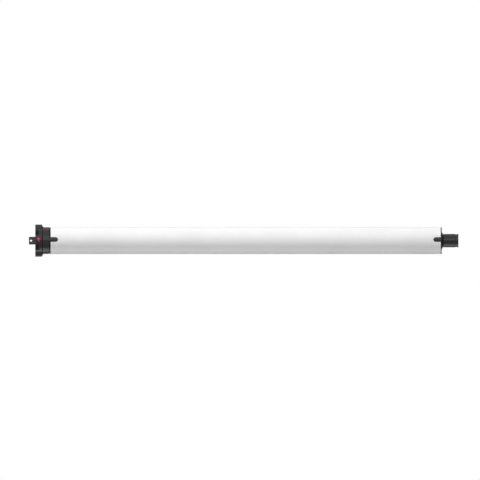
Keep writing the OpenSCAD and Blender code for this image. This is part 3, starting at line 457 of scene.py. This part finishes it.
def dress(piece, material, body, node):
    piece.data.materials.clear()
    piece.data.materials.append(material)
    makeActive(piece)
    bpy.ops.object.mode_set(mode='EDIT')
    bpy.ops.mesh.select_all(action='SELECT')
    bpy.ops.mesh.remove_doubles(threshold=tiny / 2 * mm)
    bpy.ops.object.mode_set(mode='OBJECT')
    bpy.ops.object.shade_smooth_by_angle(angle=math.radians(smoothBelow))
    useModifier(piece, 'WEIGHTED_NORMAL', keep_sharp=True)
    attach(piece, body)
    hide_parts(node)
    print(piece.name, "made with", len(piece.data.polygons), "faces")


def extent(node):
    low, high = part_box(node)
    return low / mm, high / mm


# stations that several pieces share, read from the frame
tubeLow, tubeHigh = extent("body_tube")
capHigh = extent("head_cap")[1]
bushLow, bushHigh = extent("output_bush")
hubEnd = extent("output_shaft")[1].x
shell = {
    "start": tubeLow.x, "end": tubeHigh.x, "radius": round(tubeHigh.z, 2), "wall": 1.0, "sides": 128,
    "plugGap": 0.1, "bushGap": 0.02, "screwAngles": (120, -120), "screwSet": 7.0,
    "keyWidth": 4.2, "keyLength": 6.7, "keyGap": 0.1, "keyRoot": 0.2, "keyEdge": 0.15,
    "over": 1.0,               # how far a cutter runs past what it cuts
    "clear": 20.0,             # past everything on the head
    "hair": 0.03,              # keeps joined solids from sharing a plane
}
sideScrew = {"head": 4.4, "depth": 0.9, "shank": 2.5, "sides": 48, "edge": 0.06,
             "recess": 0.6, "recessShare": 0.6, "headTip": 0.1, "endTip": 0.4,
             "gap": 0.05, "tubeDepth": 3.0, "plugGap": 0.02, "plugDepth": 6.0, "seatSides": 32}
sideScrew["face"] = math.sqrt(shell["radius"] ** 2 - sideScrew["head"] ** 2 / 4)
capScrew = {"head": 3.6, "shank": 2.0, "reach": 10.7, "faceX": 0.2, "seatX": 1.6, "length": 9.0, "sides": 48,
            "headGap": 0.2, "boreGap": 0.1, "grip": 0.02, "boreSides": 32, "edge": 0.35}
plugRadius = shell["radius"] - shell["wall"] - shell["plugGap"]
seatRadius = round(bushHigh.z, 2) + shell["bushGap"]
steepOnly = 60  # degrees: softens only edges that are sharper than this


def screwSeat(x, angle, gap, length):
    # cutter for a countersunk screw in the side of the tube
    head, shank = sideScrew["head"] / 2 + gap, sideScrew["shank"] / 2 + gap
    depth, over = sideScrew["depth"], shell["over"]
    seat = turned("screwSeat", [(-over, head), (0, head), (depth, shank), (length, shank)],
                  sideScrew["seatSides"], closed=False)
    out = outward(angle)
    return aim(seat, Vector((x, 0, 0)) + out * sideScrew["face"], -out)


# white tube with a round-ended notch at each end
tubeSize = {"rim": 0.12, "endZone": 16}


def makeTube():
    start, end, radius = shell["start"], shell["end"], shell["radius"]
    inner, over = radius - shell["wall"], shell["over"]
    near, far = start + tubeSize["endZone"], end - tubeSize["endZone"]  # rings that keep the long faces plain
    piece = turned("bodyTube", [(start, inner), (start, radius), (near, radius), (far, radius), (end, radius),
                                (end, inner), (far, inner), (near, inner)], shell["sides"])
    length, width = shell["keyLength"] + shell["keyGap"], shell["keyWidth"] + 2 * shell["keyGap"]
    for x, way in ((start, 1), (end, -1)):
        carve(piece, tab("notch", x - way * over, x + way * length, width, inner - over, radius + over))
        for angle in shell["screwAngles"]:
            station = x + way * shell["screwSet"]
            carve(piece, screwSeat(station, angle, sideScrew["gap"], sideScrew["tubeDepth"]))
    softenEdges(piece, tubeSize["rim"])
    dress(piece, coatWhite, "housing", "body_tube")


makeTube()

# ears of the head, shared by the cap and the collar behind it
earSize = {"reach": round(capHigh.z, 2), "width": 10.0, "corner": 1.7, "flatX": 6.05,
           "tailX": 7.55, "tailSet": 0.05, "sideX": 5.5}


def makeEars(keepFront):
    half, reach, tail = earSize["width"] / 2, earSize["reach"], earSize["tailX"]
    over = shell["over"]
    bar = block("earBar", (-over, -half, -reach), (tail, half, reach))
    pickEdges(bar, lambda a, b: along(2, a, b) and a.x > tail - tiny)
    bevelPicked(tail - earSize["sideX"])
    pickEdges(bar, lambda a, b: along(0, a, b) and abs(a.z) > reach - tiny)
    bevelPicked(earSize["corner"], segments=2)
    disc = turned("earDisc", [(-2 * over, reach), (earSize["flatX"], reach),
                              (tail, shell["radius"] - earSize["tailSet"])], closed=False)
    trim(bar, disc)
    seam = capHigh.x
    if keepFront:
        carve(bar, block("earTails", (seam, -reach, -reach - over), (tail + over, reach, reach + over)))
    else:
        carve(bar, block("earFronts", (-2 * over, -reach, -reach - over), (seam, reach, reach + over)))
    return bar


# black cap with scoops, and openings for tongue, button, charging socket and screws
capSize = {"wall": 1.9, "floor": 1.2, "edge": 0.4, "boss": 2.3,
           "scoopAngle": 33.9, "scoopWidth": 6.2, "scoopDepth": 1.5, "scoopLength": 4.6, "scoopHeight": 5.0,
           "scoopRoll": 0.15, "scoopFillet": 0.12, "scoopSteps": 9,
           "padEnd": 2.4, "padHalf": 5.5, "padFront": -3.0, "padBack": 2.7}
tongueSize = {"height": 7.0, "thick": 3.0, "gap": 0.02, "hole": 2.0, "holeX": -3.85, "holeSides": 40,
              "corner": 0.5, "edge": 0.15, "rootHeight": 11.0}
buttonSize = {"x": 3.3, "diameter": 4.0, "sides": 64, "gap": 0.12, "proud": 0.35, "dome": 2.6, "steps": 8,
              "edge": 0.1, "lipRadius": 2.5, "lipTop": 10.2, "lipThick": 0.6, "lipGap": 0.3, "wellFoot": 6.0,
              "plunger": 1.8, "plungerFoot": 8.0}
socketSize = {"width": 8.9, "height": 3.2, "steps": 8, "gap": 0.1, "wall": 0.3, "back": 1.0,
              "bladeThick": 0.7, "bladeEnd": 0.4, "bladeSet": 0.5, "bladeEdge": 0.15}
socketLow, socketHigh = extent("usb_socket")
socketSize["y"] = (socketLow.y + socketHigh.y) / 2


def flatRound(name, x0, x1, gap):
    # round-ended bar along the tube's axis, in the shape of the charging socket
    halfY, halfZ = socketSize["height"] / 2 + gap, socketSize["width"] / 2 + gap
    y = socketSize["y"]
    piece = block(name, (x0, y - halfY, -halfZ), (x1, y + halfY, halfZ))
    pickEdges(piece, lambda a, b: along(0, a, b))
    bevelPicked(halfY, socketSize["steps"])
    return piece


def makeScoop(angle):
    # tilted block whose floor runs from the outer face up to the rim
    radius, depth, length = shell["radius"], capSize["scoopDepth"], capSize["scoopLength"]
    half, over = capSize["scoopWidth"] / 2, shell["over"]
    slope = math.atan2(depth, length)
    floorLength = math.hypot(depth, length)
    cutter = block("scoop", (-2 * over, -capSize["scoopHeight"], -half), (floorLength + 2 * over, 0, half))
    pickEdges(cutter, lambda a, b: along(0, a, b) and a.y > -tiny)
    bevelPicked(capSize["scoopFillet"], segments=2)
    pickEdges(cutter, lambda a, b: along(0, a, b))
    bpy.ops.mesh.subdivide(number_cuts=capSize["scoopSteps"])
    bpy.ops.object.mode_set(mode='OBJECT')
    # the floor rolls over, from steep at the outer face to shallow at the rim
    for vertex in cutter.data.vertices:
        if vertex.co.y > -over * mm:
            share = vertex.co.x / (floorLength * mm)
            vertex.co.y -= 4 * capSize["scoopRoll"] * share * (1 - share) * mm
    cutter.rotation_euler = (0, 0, -slope)
    cutter.location = (0, -(radius - depth) * mm, 0)
    applyPlace(cutter)
    return roundAxis(cutter, angle)


def makeHeadCap():
    radius, end, floor = shell["radius"], capHigh.x, capSize["floor"]
    over, clear = shell["over"], shell["clear"]
    cavity = radius - capSize["wall"]
    piece = turned("headCap", [(floor, cavity), (end, cavity), (end, radius), (-2 * over, radius)],
                   shell["sides"], closed=False)
    pickEdges(piece, lambda a, b: ringAt(a, b, end, radius))
    bevelPicked(capSize["edge"])
    ears = makeEars(True)
    carve(ears, rod("earRoom", floor / 2, end + over, radius - capSize["wall"] / 2))
    weld(piece, ears)
    carve(piece, block("frontCut", (-5 * over, -clear, -clear), (0, clear, clear)))
    pickEdges(piece, lambda a, b: abs(a.x) < tiny and abs(b.x) < tiny)
    bevelPicked(capSize["edge"], segments=3)
    for side in (-1, 1):
        centre = (0, side * capScrew["reach"])
        weld(piece, rod("boss", floor / 2, end - shell["hair"], capSize["boss"], centre))
    pad = capSize["padHalf"]
    weld(piece, block("pad", (floor / 2, capSize["padFront"], -pad),
                      (capSize["padEnd"], capSize["padBack"], pad)))
    bore, sink = capScrew["shank"] / 2 + capScrew["boreGap"], capScrew["head"] / 2 + capScrew["headGap"]
    for side in (-1, 1):
        centre = (0, side * capScrew["reach"])
        carve(piece, rod("screwBore", -over, end + over, bore, centre, capScrew["boreSides"]),
              rod("screwSink", -over, capScrew["seatX"], sink, centre))
    for angle in (capSize["scoopAngle"], -capSize["scoopAngle"]):
        carve(piece, makeScoop(angle), makeScoop(180 + angle))
    gap = tongueSize["gap"]
    thick, high = tongueSize["thick"] / 2 + gap, tongueSize["height"] / 2 + gap
    carve(piece, block("tongueSlot", (-over, -thick, -high), (end, thick, high)))
    carve(piece, flatRound("socketHole", -over, end, socketSize["gap"]))
    wellRadius = buttonSize["diameter"] / 2 + buttonSize["gap"]
    well = rod("buttonWell", buttonSize["wellFoot"], radius + over, wellRadius)
    carve(piece, aim(well, (buttonSize["x"], 0, 0), outward(0)))
    dress(piece, mouldBlack, "housing", "head_cap")


makeHeadCap()

# collar with its groove, the key in the notch, and the plug inside the tube
collarSize = {"bore": 9.8, "edge": 0.4, "lip": 0.08,
              "grooveX": 12.9, "grooveWidth": 0.6, "grooveDepth": 0.6, "grooveRound": 0.49,
              "keyStep": 0.2, "keyLap": 0.2, "plugLength": 13.7, "lead": 1.0, "leadDepth": 0.6,
              "registerX": 5.3, "registerRadius": 10.48, "web": 3.0, "webLap": 0.5,
              "bossGap": 0.12, "boreLap": 0.1}


def makeKey(name, x, way):
    radius, over, clear = shell["radius"], shell["over"], shell["clear"]
    key = tab(name, x - way * shell["keyRoot"], x + way * shell["keyLength"], shell["keyWidth"],
              plugRadius - over, radius + over)
    trim(key, rod("keyRound", x - clear, x + clear, radius, sides=shell["sides"]))
    softenEdges(key, shell["keyEdge"], angle=steepOnly)
    return key


def makeHeadBody():
    radius, seam, start, bore = shell["radius"], capHigh.x, shell["start"], collarSize["bore"]
    over, hair = shell["over"], shell["hair"]
    grooveX, grooveEnd = collarSize["grooveX"], collarSize["grooveX"] + collarSize["grooveWidth"]
    grooveRadius, plugEnd = radius - collarSize["grooveDepth"], start + collarSize["plugLength"]
    registerX, registerRadius = collarSize["registerX"], collarSize["registerRadius"]
    piece = turned("headBody", [
        (registerX, bore), (registerX, registerRadius), (seam, registerRadius), (seam, radius),
        (grooveX, radius), (grooveX, grooveRadius), (grooveEnd, grooveRadius), (grooveEnd, radius),
        (start, radius), (start, plugRadius), (plugEnd - collarSize["lead"], plugRadius),
        (plugEnd, plugRadius - collarSize["leadDepth"]), (plugEnd, bore)], shell["sides"])
    pickEdges(piece, lambda a, b: ringAt(a, b, seam, radius))
    bevelPicked(collarSize["edge"])
    pickEdges(piece, lambda a, b: any(ringAt(a, b, x, grooveRadius) for x in (grooveX, grooveEnd)))
    bevelPicked(collarSize["grooveWidth"] * collarSize["grooveRound"])
    pickEdges(piece, lambda a, b: any(ringAt(a, b, x, radius) for x in (grooveX, grooveEnd, start)))
    bevelPicked(collarSize["lip"])
    tails = makeEars(False)
    carve(tails, rod("tailRoom", seam - over, seam + 5 * over, (bore + radius) / 2))
    lap, keyHalf = collarSize["keyLap"], shell["keyWidth"] / 2
    bridge = block("keyBridge", (grooveX - lap, -radius, -keyHalf), (grooveEnd + lap, -bore - lap, keyHalf))
    trim(bridge, rod("bridgeRound", grooveX - over, start + over, radius - collarSize["keyStep"],
                     sides=shell["sides"]))
    for side in (-1, 1):
        centre = (0, side * capScrew["reach"])
        carve(piece, rod("bossRoom", 0, seam + hair, capSize["boss"] + collarSize["bossGap"], centre))
    room = rod("lipRoom", buttonSize["wellFoot"], radius, buttonSize["lipRadius"] + buttonSize["lipGap"])
    carve(piece, aim(room, (buttonSize["x"], 0, 0), outward(0)))
    weld(piece, tails, makeKey("headKey", start, 1), bridge)
    first, last = seam + 2 * hair, start - hair
    thick = tongueSize["thick"] / 2
    web = block("tongueWeb", (first, -thick, -radius), (first + collarSize["web"], thick, radius))
    for side in (-1, 1):
        weld(web, rod("collarBoss", first + hair, last, capSize["boss"], (0, side * capScrew["reach"])))
    trim(web, rod("boreRound", seam, start, bore + collarSize["webLap"]))
    weld(piece, web)
    boreStart, boreEnd = seam - collarSize["boreLap"], capScrew["seatX"] + capScrew["length"]
    for side in (-1, 1):
        centre = (0, side * capScrew["reach"])
        carve(piece, rod("screwBore", boreStart, boreEnd, capScrew["shank"] / 2 + capScrew["grip"], centre,
                         capScrew["boreSides"]))
    for angle in shell["screwAngles"]:
        carve(piece, screwSeat(start + shell["screwSet"], angle, sideScrew["plugGap"], sideScrew["plugDepth"]))
    dress(piece, mouldBlack, "housing", "head_body")


makeHeadBody()


# flat steel tongue with its wider root
def makeTongue():
    low, high = extent("bracket_tongue")
    half, thick, rootHalf = tongueSize["height"] / 2, tongueSize["thick"] / 2, tongueSize["rootHeight"] / 2
    rootX = capSize["padEnd"] + tongueSize["gap"]
    piece = block("bracketTongue", (low.x, -thick, -half), (rootX, thick, half))
    pickEdges(piece, lambda a, b: along(1, a, b) and a.x < low.x + tiny)
    bevelPicked(tongueSize["corner"], segments=3)
    pickFaces(piece, lambda middle, normal: normal.x > faceOn)
    bpy.ops.mesh.extrude_region_move(TRANSFORM_OT_translate={"value": ((high.x - rootX) * mm, 0, 0)})
    bpy.ops.object.mode_set(mode='OBJECT')
    for way in (-1, 1):
        pickFaces(piece, lambda middle, normal: normal.z * way > faceOn and middle.x > rootX)
        wider = (0, 0, way * (rootHalf - half) * mm)
        bpy.ops.mesh.extrude_region_move(TRANSFORM_OT_translate={"value": wider})
        bpy.ops.object.mode_set(mode='OBJECT')
    through = tongueSize["thick"] + 2 * shell["over"]
    hole = rod("pinHole", -through, through, tongueSize["hole"] / 2, sides=tongueSize["holeSides"])
    carve(piece, aim(hole, (tongueSize["holeX"], 0, 0), outward(0)))
    softenEdges(piece, tongueSize["edge"])
    dress(piece, tongueBlack, "housing", "bracket_tongue")


makeTongue()


# domed red button with its lip and plunger
def makeButton():
    radius, lipTop = buttonSize["diameter"] / 2, buttonSize["lipTop"]
    lipFoot = lipTop - buttonSize["lipThick"]
    plunger, dome = buttonSize["plunger"] / 2, buttonSize["dome"]
    centre = shell["radius"] + buttonSize["proud"] - dome
    outline = [(buttonSize["plungerFoot"], plunger), (lipFoot, plunger), (lipFoot, buttonSize["lipRadius"]),
               (lipTop, buttonSize["lipRadius"]), (lipTop, radius)]
    rimAngle = math.asin(radius / dome)
    for step in range(buttonSize["steps"]):
        lean = rimAngle * (1 - step / buttonSize["steps"])
        outline.append((centre + dome * math.cos(lean), dome * math.sin(lean)))
    piece = turned("settingButton", outline, buttonSize["sides"], closed=False)
    softenEdges(piece, buttonSize["edge"])
    aim(piece, (buttonSize["x"], 0, 0), outward(0))
    dress(piece, buttonRed, "button", "setting_button")


makeButton()


# screws: one of each kind is made, then copied round
def crossRecess(piece, faceX, head):
    half, slot = head * sideScrew["recessShare"] / 2, sideScrew["recess"] / 2
    top, foot = faceX - shell["over"], faceX + sideScrew["recess"]
    carve(piece, block("recess", (top, -half, -slot), (foot, half, slot)),
          block("recess", (top, -slot, -half), (foot, slot, half)))


def makeCapScrews():
    face, seat, head, shank = capScrew["faceX"], capScrew["seatX"], capScrew["head"] / 2, capScrew["shank"] / 2
    screw = turned("capScrews", [(face, head), (seat, head), (seat, shank), (seat + capScrew["length"], shank)],
                   capScrew["sides"], closed=False)
    pickEdges(screw, lambda a, b: max(a.x, b.x) < face + tiny)
    bevelPicked(capScrew["edge"], segments=4)
    crossRecess(screw, face, capScrew["head"])
    other = copyPiece(screw)
    for piece, side in ((screw, 1), (other, -1)):
        piece.location = (0, 0, side * capScrew["reach"] * mm)
        applyPlace(piece)
    dress(joinPieces(screw, other), screwZinc, "housing", "cap_screws")


def makeSideScrews(name, node, x, tip):
    head, shank, depth = sideScrew["head"] / 2, sideScrew["shank"] / 2, sideScrew["depth"]
    screw = turned(name, [(0, head), (depth, shank), (sideScrew["face"] - tip, shank)], sideScrew["sides"],
                   closed=False)
    softenEdges(screw, sideScrew["edge"], angle=steepOnly)
    crossRecess(screw, 0, sideScrew["head"])
    copies = [screw, copyPiece(screw)]
    for piece, angle in zip(copies, shell["screwAngles"]):
        out = outward(angle)
        aim(piece, Vector((x, 0, 0)) + out * sideScrew["face"], -out)
    dress(joinPieces(*copies), screwZinc, "housing", node)


makeCapScrews()
makeSideScrews("headScrews", "head_screws", shell["start"] + shell["screwSet"],
               collarSize["bore"] + sideScrew["headTip"])
makeSideScrews("endScrews", "end_screws", shell["end"] - shell["screwSet"], seatRadius + sideScrew["endTip"])


# charging socket: folded shell with a contact blade
def makeSocket():
    x0, x1 = socketLow.x, socketHigh.x
    piece = flatRound("chargeSocket", x0, x1, 0)
    pickFaces(piece, lambda middle, normal: normal.x < -faceOn)
    bpy.ops.mesh.inset(thickness=socketSize["wall"] * mm)
    depth = x1 - x0 - socketSize["back"]
    bpy.ops.mesh.extrude_region_move(TRANSFORM_OT_translate={"value": (depth * mm, 0, 0)})
    bpy.ops.object.mode_set(mode='OBJECT')
    half = (socketSize["width"] - socketSize["height"]) / 2 + socketSize["bladeEnd"]
    thick, y = socketSize["bladeThick"] / 2, socketSize["y"]
    blade = block("blade", (x0 + socketSize["back"], y - thick, -half),
                  (x1 - socketSize["bladeSet"], y + thick, half))
    softenEdges(blade, socketSize["bladeEdge"])
    weld(piece, blade)
    dress(piece, socketMetal, "housing", "usb_socket")


makeSocket()

# cap at the drive end, with its key, the seat of the bush and the dogs that hold the ring gear
endSize = {"plugLength": 12.0, "plugEdge": 0.4, "flange": 1.0, "flangeSet": 0.1, "edge": 0.2,
           "coneFoot": 8.1, "coneTop": 6.55, "coneHeight": 1.0, "bore": 6.1, "seatWall": 0.3,
           "dogWidth": 4.0, "dogFoot": 10.3, "dogAngles": (60, 180, 300)}


def makeEndCap():
    radius, end, over = shell["radius"], shell["end"], shell["over"]
    inner, flangeEnd = end - endSize["plugLength"], end + endSize["flange"]
    coneEnd, edge = flangeEnd + endSize["coneHeight"], endSize["plugEdge"]
    flange = radius - endSize["flangeSet"]
    piece = turned("endCap", [
        (inner, seatRadius), (inner, plugRadius - edge), (inner + edge, plugRadius), (end, plugRadius),
        (end, flange), (flangeEnd, flange), (flangeEnd, endSize["coneFoot"]), (coneEnd, endSize["coneTop"]),
        (coneEnd, endSize["bore"]), (bushHigh.x, endSize["bore"]), (bushHigh.x, seatRadius)], shell["sides"])
    softenEdges(piece, endSize["edge"], segments=3)
    half, foot = endSize["dogWidth"] / 2, extent("end_cap")[0].x
    for angle in endSize["dogAngles"]:
        dog = block("dog", (foot, -plugRadius, -half), (inner + edge, -endSize["dogFoot"], half))
        dog = roundAxis(dog, 90 + angle)
        trim(dog, rod("dogRound", foot - over, inner + over, plugRadius - edge))
        weld(piece, dog)
    weld(piece, makeKey("endKey", end, -1))
    depth = sideScrew["face"] - seatRadius - endSize["seatWall"]
    for angle in shell["screwAngles"]:
        carve(piece, screwSeat(end - shell["screwSet"], angle, sideScrew["plugGap"], depth))
    dress(piece, mouldBlack, "housing", "end_cap")


makeEndCap()

# drive shaft: hexagon inside, journal, hub with retaining groove and keyway
shaftSize = {"radius": 6.25, "journal": 6.0, "hubLength": 14.3, "neck": 0.2, "hex": 8.0, "edge": 0.12,
             "grooveSet": 1.3, "grooveWidth": 1.4, "grooveDepth": 0.35, "gap": 0.05,
             "keyway": 3.0, "keywayDepth": 1.2, "keywaySet": 2.0, "clipDepth": 0.75, "clipWidth": 0.9}


def makeShaft():
    radius, journal, neck = shaftSize["radius"], shaftSize["journal"], shaftSize["neck"]
    gap, over = shaftSize["gap"], shell["over"]
    hubStart = hubEnd - shaftSize["hubLength"]
    grooveEnd = hubEnd - shaftSize["grooveSet"]
    grooveStart = grooveEnd - shaftSize["grooveWidth"]
    clipEnd = bushLow.x - gap
    clipStart = clipEnd - shaftSize["clipWidth"]
    carrierHigh = extent("output_carrier")[1].x
    clipRadius, grooveRadius = journal - shaftSize["clipDepth"], radius - shaftSize["grooveDepth"]
    piece = turned("outputShaft", [
        (carrierHigh + gap, journal), (clipStart, journal), (clipStart, clipRadius), (clipEnd, clipRadius),
        (clipEnd, journal), (hubStart, journal), (hubStart, radius - neck),
        (hubStart + 2 * neck, radius - neck), (hubStart + 3 * neck, radius), (grooveStart, radius),
        (grooveStart, grooveRadius), (grooveEnd, grooveRadius), (grooveEnd, radius), (hubEnd, radius)],
        shell["sides"], closed=False)
    softenEdges(piece, shaftSize["edge"])
    shaftLow = extent("output_shaft")[0].x
    hexRadius = shaftSize["hex"] / 2 / math.cos(math.pi / 6)
    weld(piece, turned("hexagon", [(shaftLow, hexRadius), (carrierHigh + over, hexRadius)], 6, closed=False))
    half, foot = shaftSize["keyway"] / 2, radius - shaftSize["keywayDepth"]
    carve(piece, block("keyway", (hubStart + shaftSize["keywaySet"], foot, -half),
                       (hubEnd + over, radius + over, half)))
    dress(piece, shaftBlack, "output", "output_shaft")


makeShaft()
print("pieces made")

# floor and light
studio = {
    "floorDrop": 35 * mm,
    "floorSize": 6.0,
    "floorColour": (0.61, 0.61, 0.61), "floorShade": 0.985, "floorPatch": 3.0,
    "floorRough": 0.9, "floorSpecular": 0.1,
    "sweepShade": 0.33, "sweepGlow": 0.48, "sweepFade": (0.24, 0.5),
    "ambient": 0.50,
    "targetX": 0.19,
}
# the key lights the shapes, the others only show in glossy surfaces; places and sizes in metres
lamps = {
    "keySoftbox": {"place": (0.13, -0.315, 0.568), "size": (1.0, 0.25), "power": 3.82, "shows": "diffuse"},
    "frontSoftbox": {"place": (0.19, -0.959, 0.284), "size": (0.6, 0.55), "power": 0.62, "shows": "glossy"},
    "underStrip": {"place": (0.206, -0.004, -0.045), "size": (0.418, 0.034), "power": 0.066, "shows": "glossy",
                   "targetX": 0.206},
    "sparkBox": {"place": (-0.264, -0.603, 0.467), "size": (0.17, 0.17), "power": 3.6, "shows": "glossy",
                 "targetX": 0.003},
}
# grey backdrops, well clear of the part, that show only as reflections; in millimetres
backdrops = {
    "overheadBackdrop": {"place": (-285, -70, 350), "size": (320, 320), "target": (-285, -70, 0)},
    "rearBackdrop": {"place": (190, 350, 160), "size": (900, 380), "target": (190, 0, 0)},
    "floorSheet": {"place": (-74, -30, -48), "size": (120, 120), "target": (-74, -30, 0)},
}


def addFloor():
    lowest = cadBox[0].z - studio["floorDrop"]
    clearSelection()
    bpy.ops.mesh.primitive_plane_add(size=studio["floorSize"], location=(studio["targetX"], 0, lowest))
    floor = bpy.context.object
    floor.name = "studioFloor"
    mat, tree, shader = newMaterial("floorPale")
    pale = studio["floorColour"]
    shade = tuple(studio["floorShade"] * c for c in pale)
    tint = blendColours(tree, objectNoise(tree, studio["floorPatch"]), shade, pale)
    tree.links.new(tint, shader.inputs["Base Color"])
    shader.inputs["Roughness"].default_value = studio["floorRough"]
    shader.inputs["Specular IOR Level"].default_value = studio["floorSpecular"]
    # the camera sees a paler sweep that keeps the shadow and turns white further out
    sweep = tree.nodes.new("ShaderNodeBsdfDiffuse")
    sweep.inputs["Color"].default_value = (*[studio["sweepShade"]] * 3, 1)
    glow = tree.nodes.new("ShaderNodeEmission")
    glow.inputs["Strength"].default_value = studio["sweepGlow"]
    near = tree.nodes.new("ShaderNodeAddShader")
    tree.links.new(sweep.outputs["BSDF"], near.inputs[0])
    tree.links.new(glow.outputs["Emission"], near.inputs[1])
    white = tree.nodes.new("ShaderNodeEmission")
    coords = tree.nodes.new("ShaderNodeTexCoord")
    length = tree.nodes.new("ShaderNodeVectorMath")
    length.operation = 'LENGTH'
    fade = tree.nodes.new("ShaderNodeMapRange")
    fade.interpolation_type = 'SMOOTHSTEP'
    fade.inputs["From Min"].default_value, fade.inputs["From Max"].default_value = studio["sweepFade"]
    tree.links.new(coords.outputs["Object"], length.inputs[0])
    tree.links.new(length.outputs["Value"], fade.inputs["Value"])
    fromAbove = tree.nodes.new("ShaderNodeMixShader")
    tree.links.new(fade.outputs["Result"], fromAbove.inputs["Fac"])
    tree.links.new(near.outputs["Shader"], fromAbove.inputs[1])
    tree.links.new(white.outputs["Emission"], fromAbove.inputs[2])
    # from below, the floor lets the camera through to the white backdrop
    side = tree.nodes.new("ShaderNodeNewGeometry")
    clear = tree.nodes.new("ShaderNodeBsdfTransparent")
    seen = tree.nodes.new("ShaderNodeMixShader")
    tree.links.new(side.outputs["Backfacing"], seen.inputs["Fac"])
    tree.links.new(fromAbove.outputs["Shader"], seen.inputs[1])
    tree.links.new(clear.outputs["BSDF"], seen.inputs[2])
    path = tree.nodes.new("ShaderNodeLightPath")
    mix = tree.nodes.new("ShaderNodeMixShader")
    tree.links.new(path.outputs["Is Camera Ray"], mix.inputs["Fac"])
    tree.links.new(shader.outputs["BSDF"], mix.inputs[1])
    tree.links.new(seen.outputs["Shader"], mix.inputs[2])
    tree.links.new(mix.outputs["Shader"], tree.nodes["Material Output"].inputs["Surface"])
    floor.data.materials.append(mat)


def addWorld():
    world = bpy.data.worlds.new("studioWorld")
    bpy.context.scene.world = world
    world.use_nodes = True
    tree = world.node_tree
    soft = tree.nodes["Background"]
    soft.inputs["Color"].default_value = (1, 1, 1, 1)
    soft.inputs["Strength"].default_value = studio["ambient"]
    white = tree.nodes.new("ShaderNodeBackground")
    white.inputs["Color"].default_value = (1, 1, 1, 1)
    white.inputs["Strength"].default_value = 1.0
    path = tree.nodes.new("ShaderNodeLightPath")
    first = tree.nodes.new("ShaderNodeMath")
    first.operation = 'MAXIMUM'
    second = tree.nodes.new("ShaderNodeMath")
    second.operation = 'MAXIMUM'
    mix = tree.nodes.new("ShaderNodeMixShader")
    tree.links.new(path.outputs["Is Camera Ray"], first.inputs[0])
    tree.links.new(path.outputs["Is Glossy Ray"], first.inputs[1])
    tree.links.new(first.outputs["Value"], second.inputs[0])
    tree.links.new(path.outputs["Is Transmission Ray"], second.inputs[1])
    tree.links.new(second.outputs["Value"], mix.inputs["Fac"])
    tree.links.new(soft.outputs["Background"], mix.inputs[1])
    tree.links.new(white.outputs["Background"], mix.inputs[2])
    tree.links.new(mix.outputs["Shader"], tree.nodes["World Output"].inputs["Surface"])


def addSoftbox(name, setup):
    lampData = bpy.data.lights.new(name, 'AREA')
    lampData.shape = 'RECTANGLE'
    lampData.size, lampData.size_y = setup["size"]
    lampData.energy = setup["power"]
    lamp = bpy.data.objects.new(name, lampData)
    place = Vector(setup["place"])
    lamp.location = place
    aimed = Vector((setup.get("targetX", studio["targetX"]), 0, 0))
    lamp.rotation_euler = (aimed - place).to_track_quat('-Z', 'Y').to_euler()
    lamp.visible_camera = False
    lamp.visible_glossy = setup["shows"] == "glossy"
    lamp.visible_diffuse = setup["shows"] == "diffuse"
    bpy.context.scene.collection.objects.link(lamp)


def addBackdrop(name, setup):
    clearSelection()
    bpy.ops.mesh.primitive_plane_add(size=1)
    sheet = bpy.context.object
    sheet.name = name
    sheet.scale = (setup["size"][0] * mm, setup["size"][1] * mm, 1)
    place = Vector(setup["place"])
    sheet.rotation_euler = (Vector(setup["target"]) - place).to_track_quat('Z', 'Y').to_euler()
    sheet.location = place * mm
    applyPlace(sheet)
    sheet.data.materials.append(backdropGrey)
    sheet.visible_camera = sheet.visible_diffuse = sheet.visible_transmission = sheet.visible_shadow = False


addFloor()
addWorld()
for name, setup in lamps.items():
    addSoftbox(name, setup)
for name, setup in backdrops.items():
    addBackdrop(name, setup)
print("studio set")
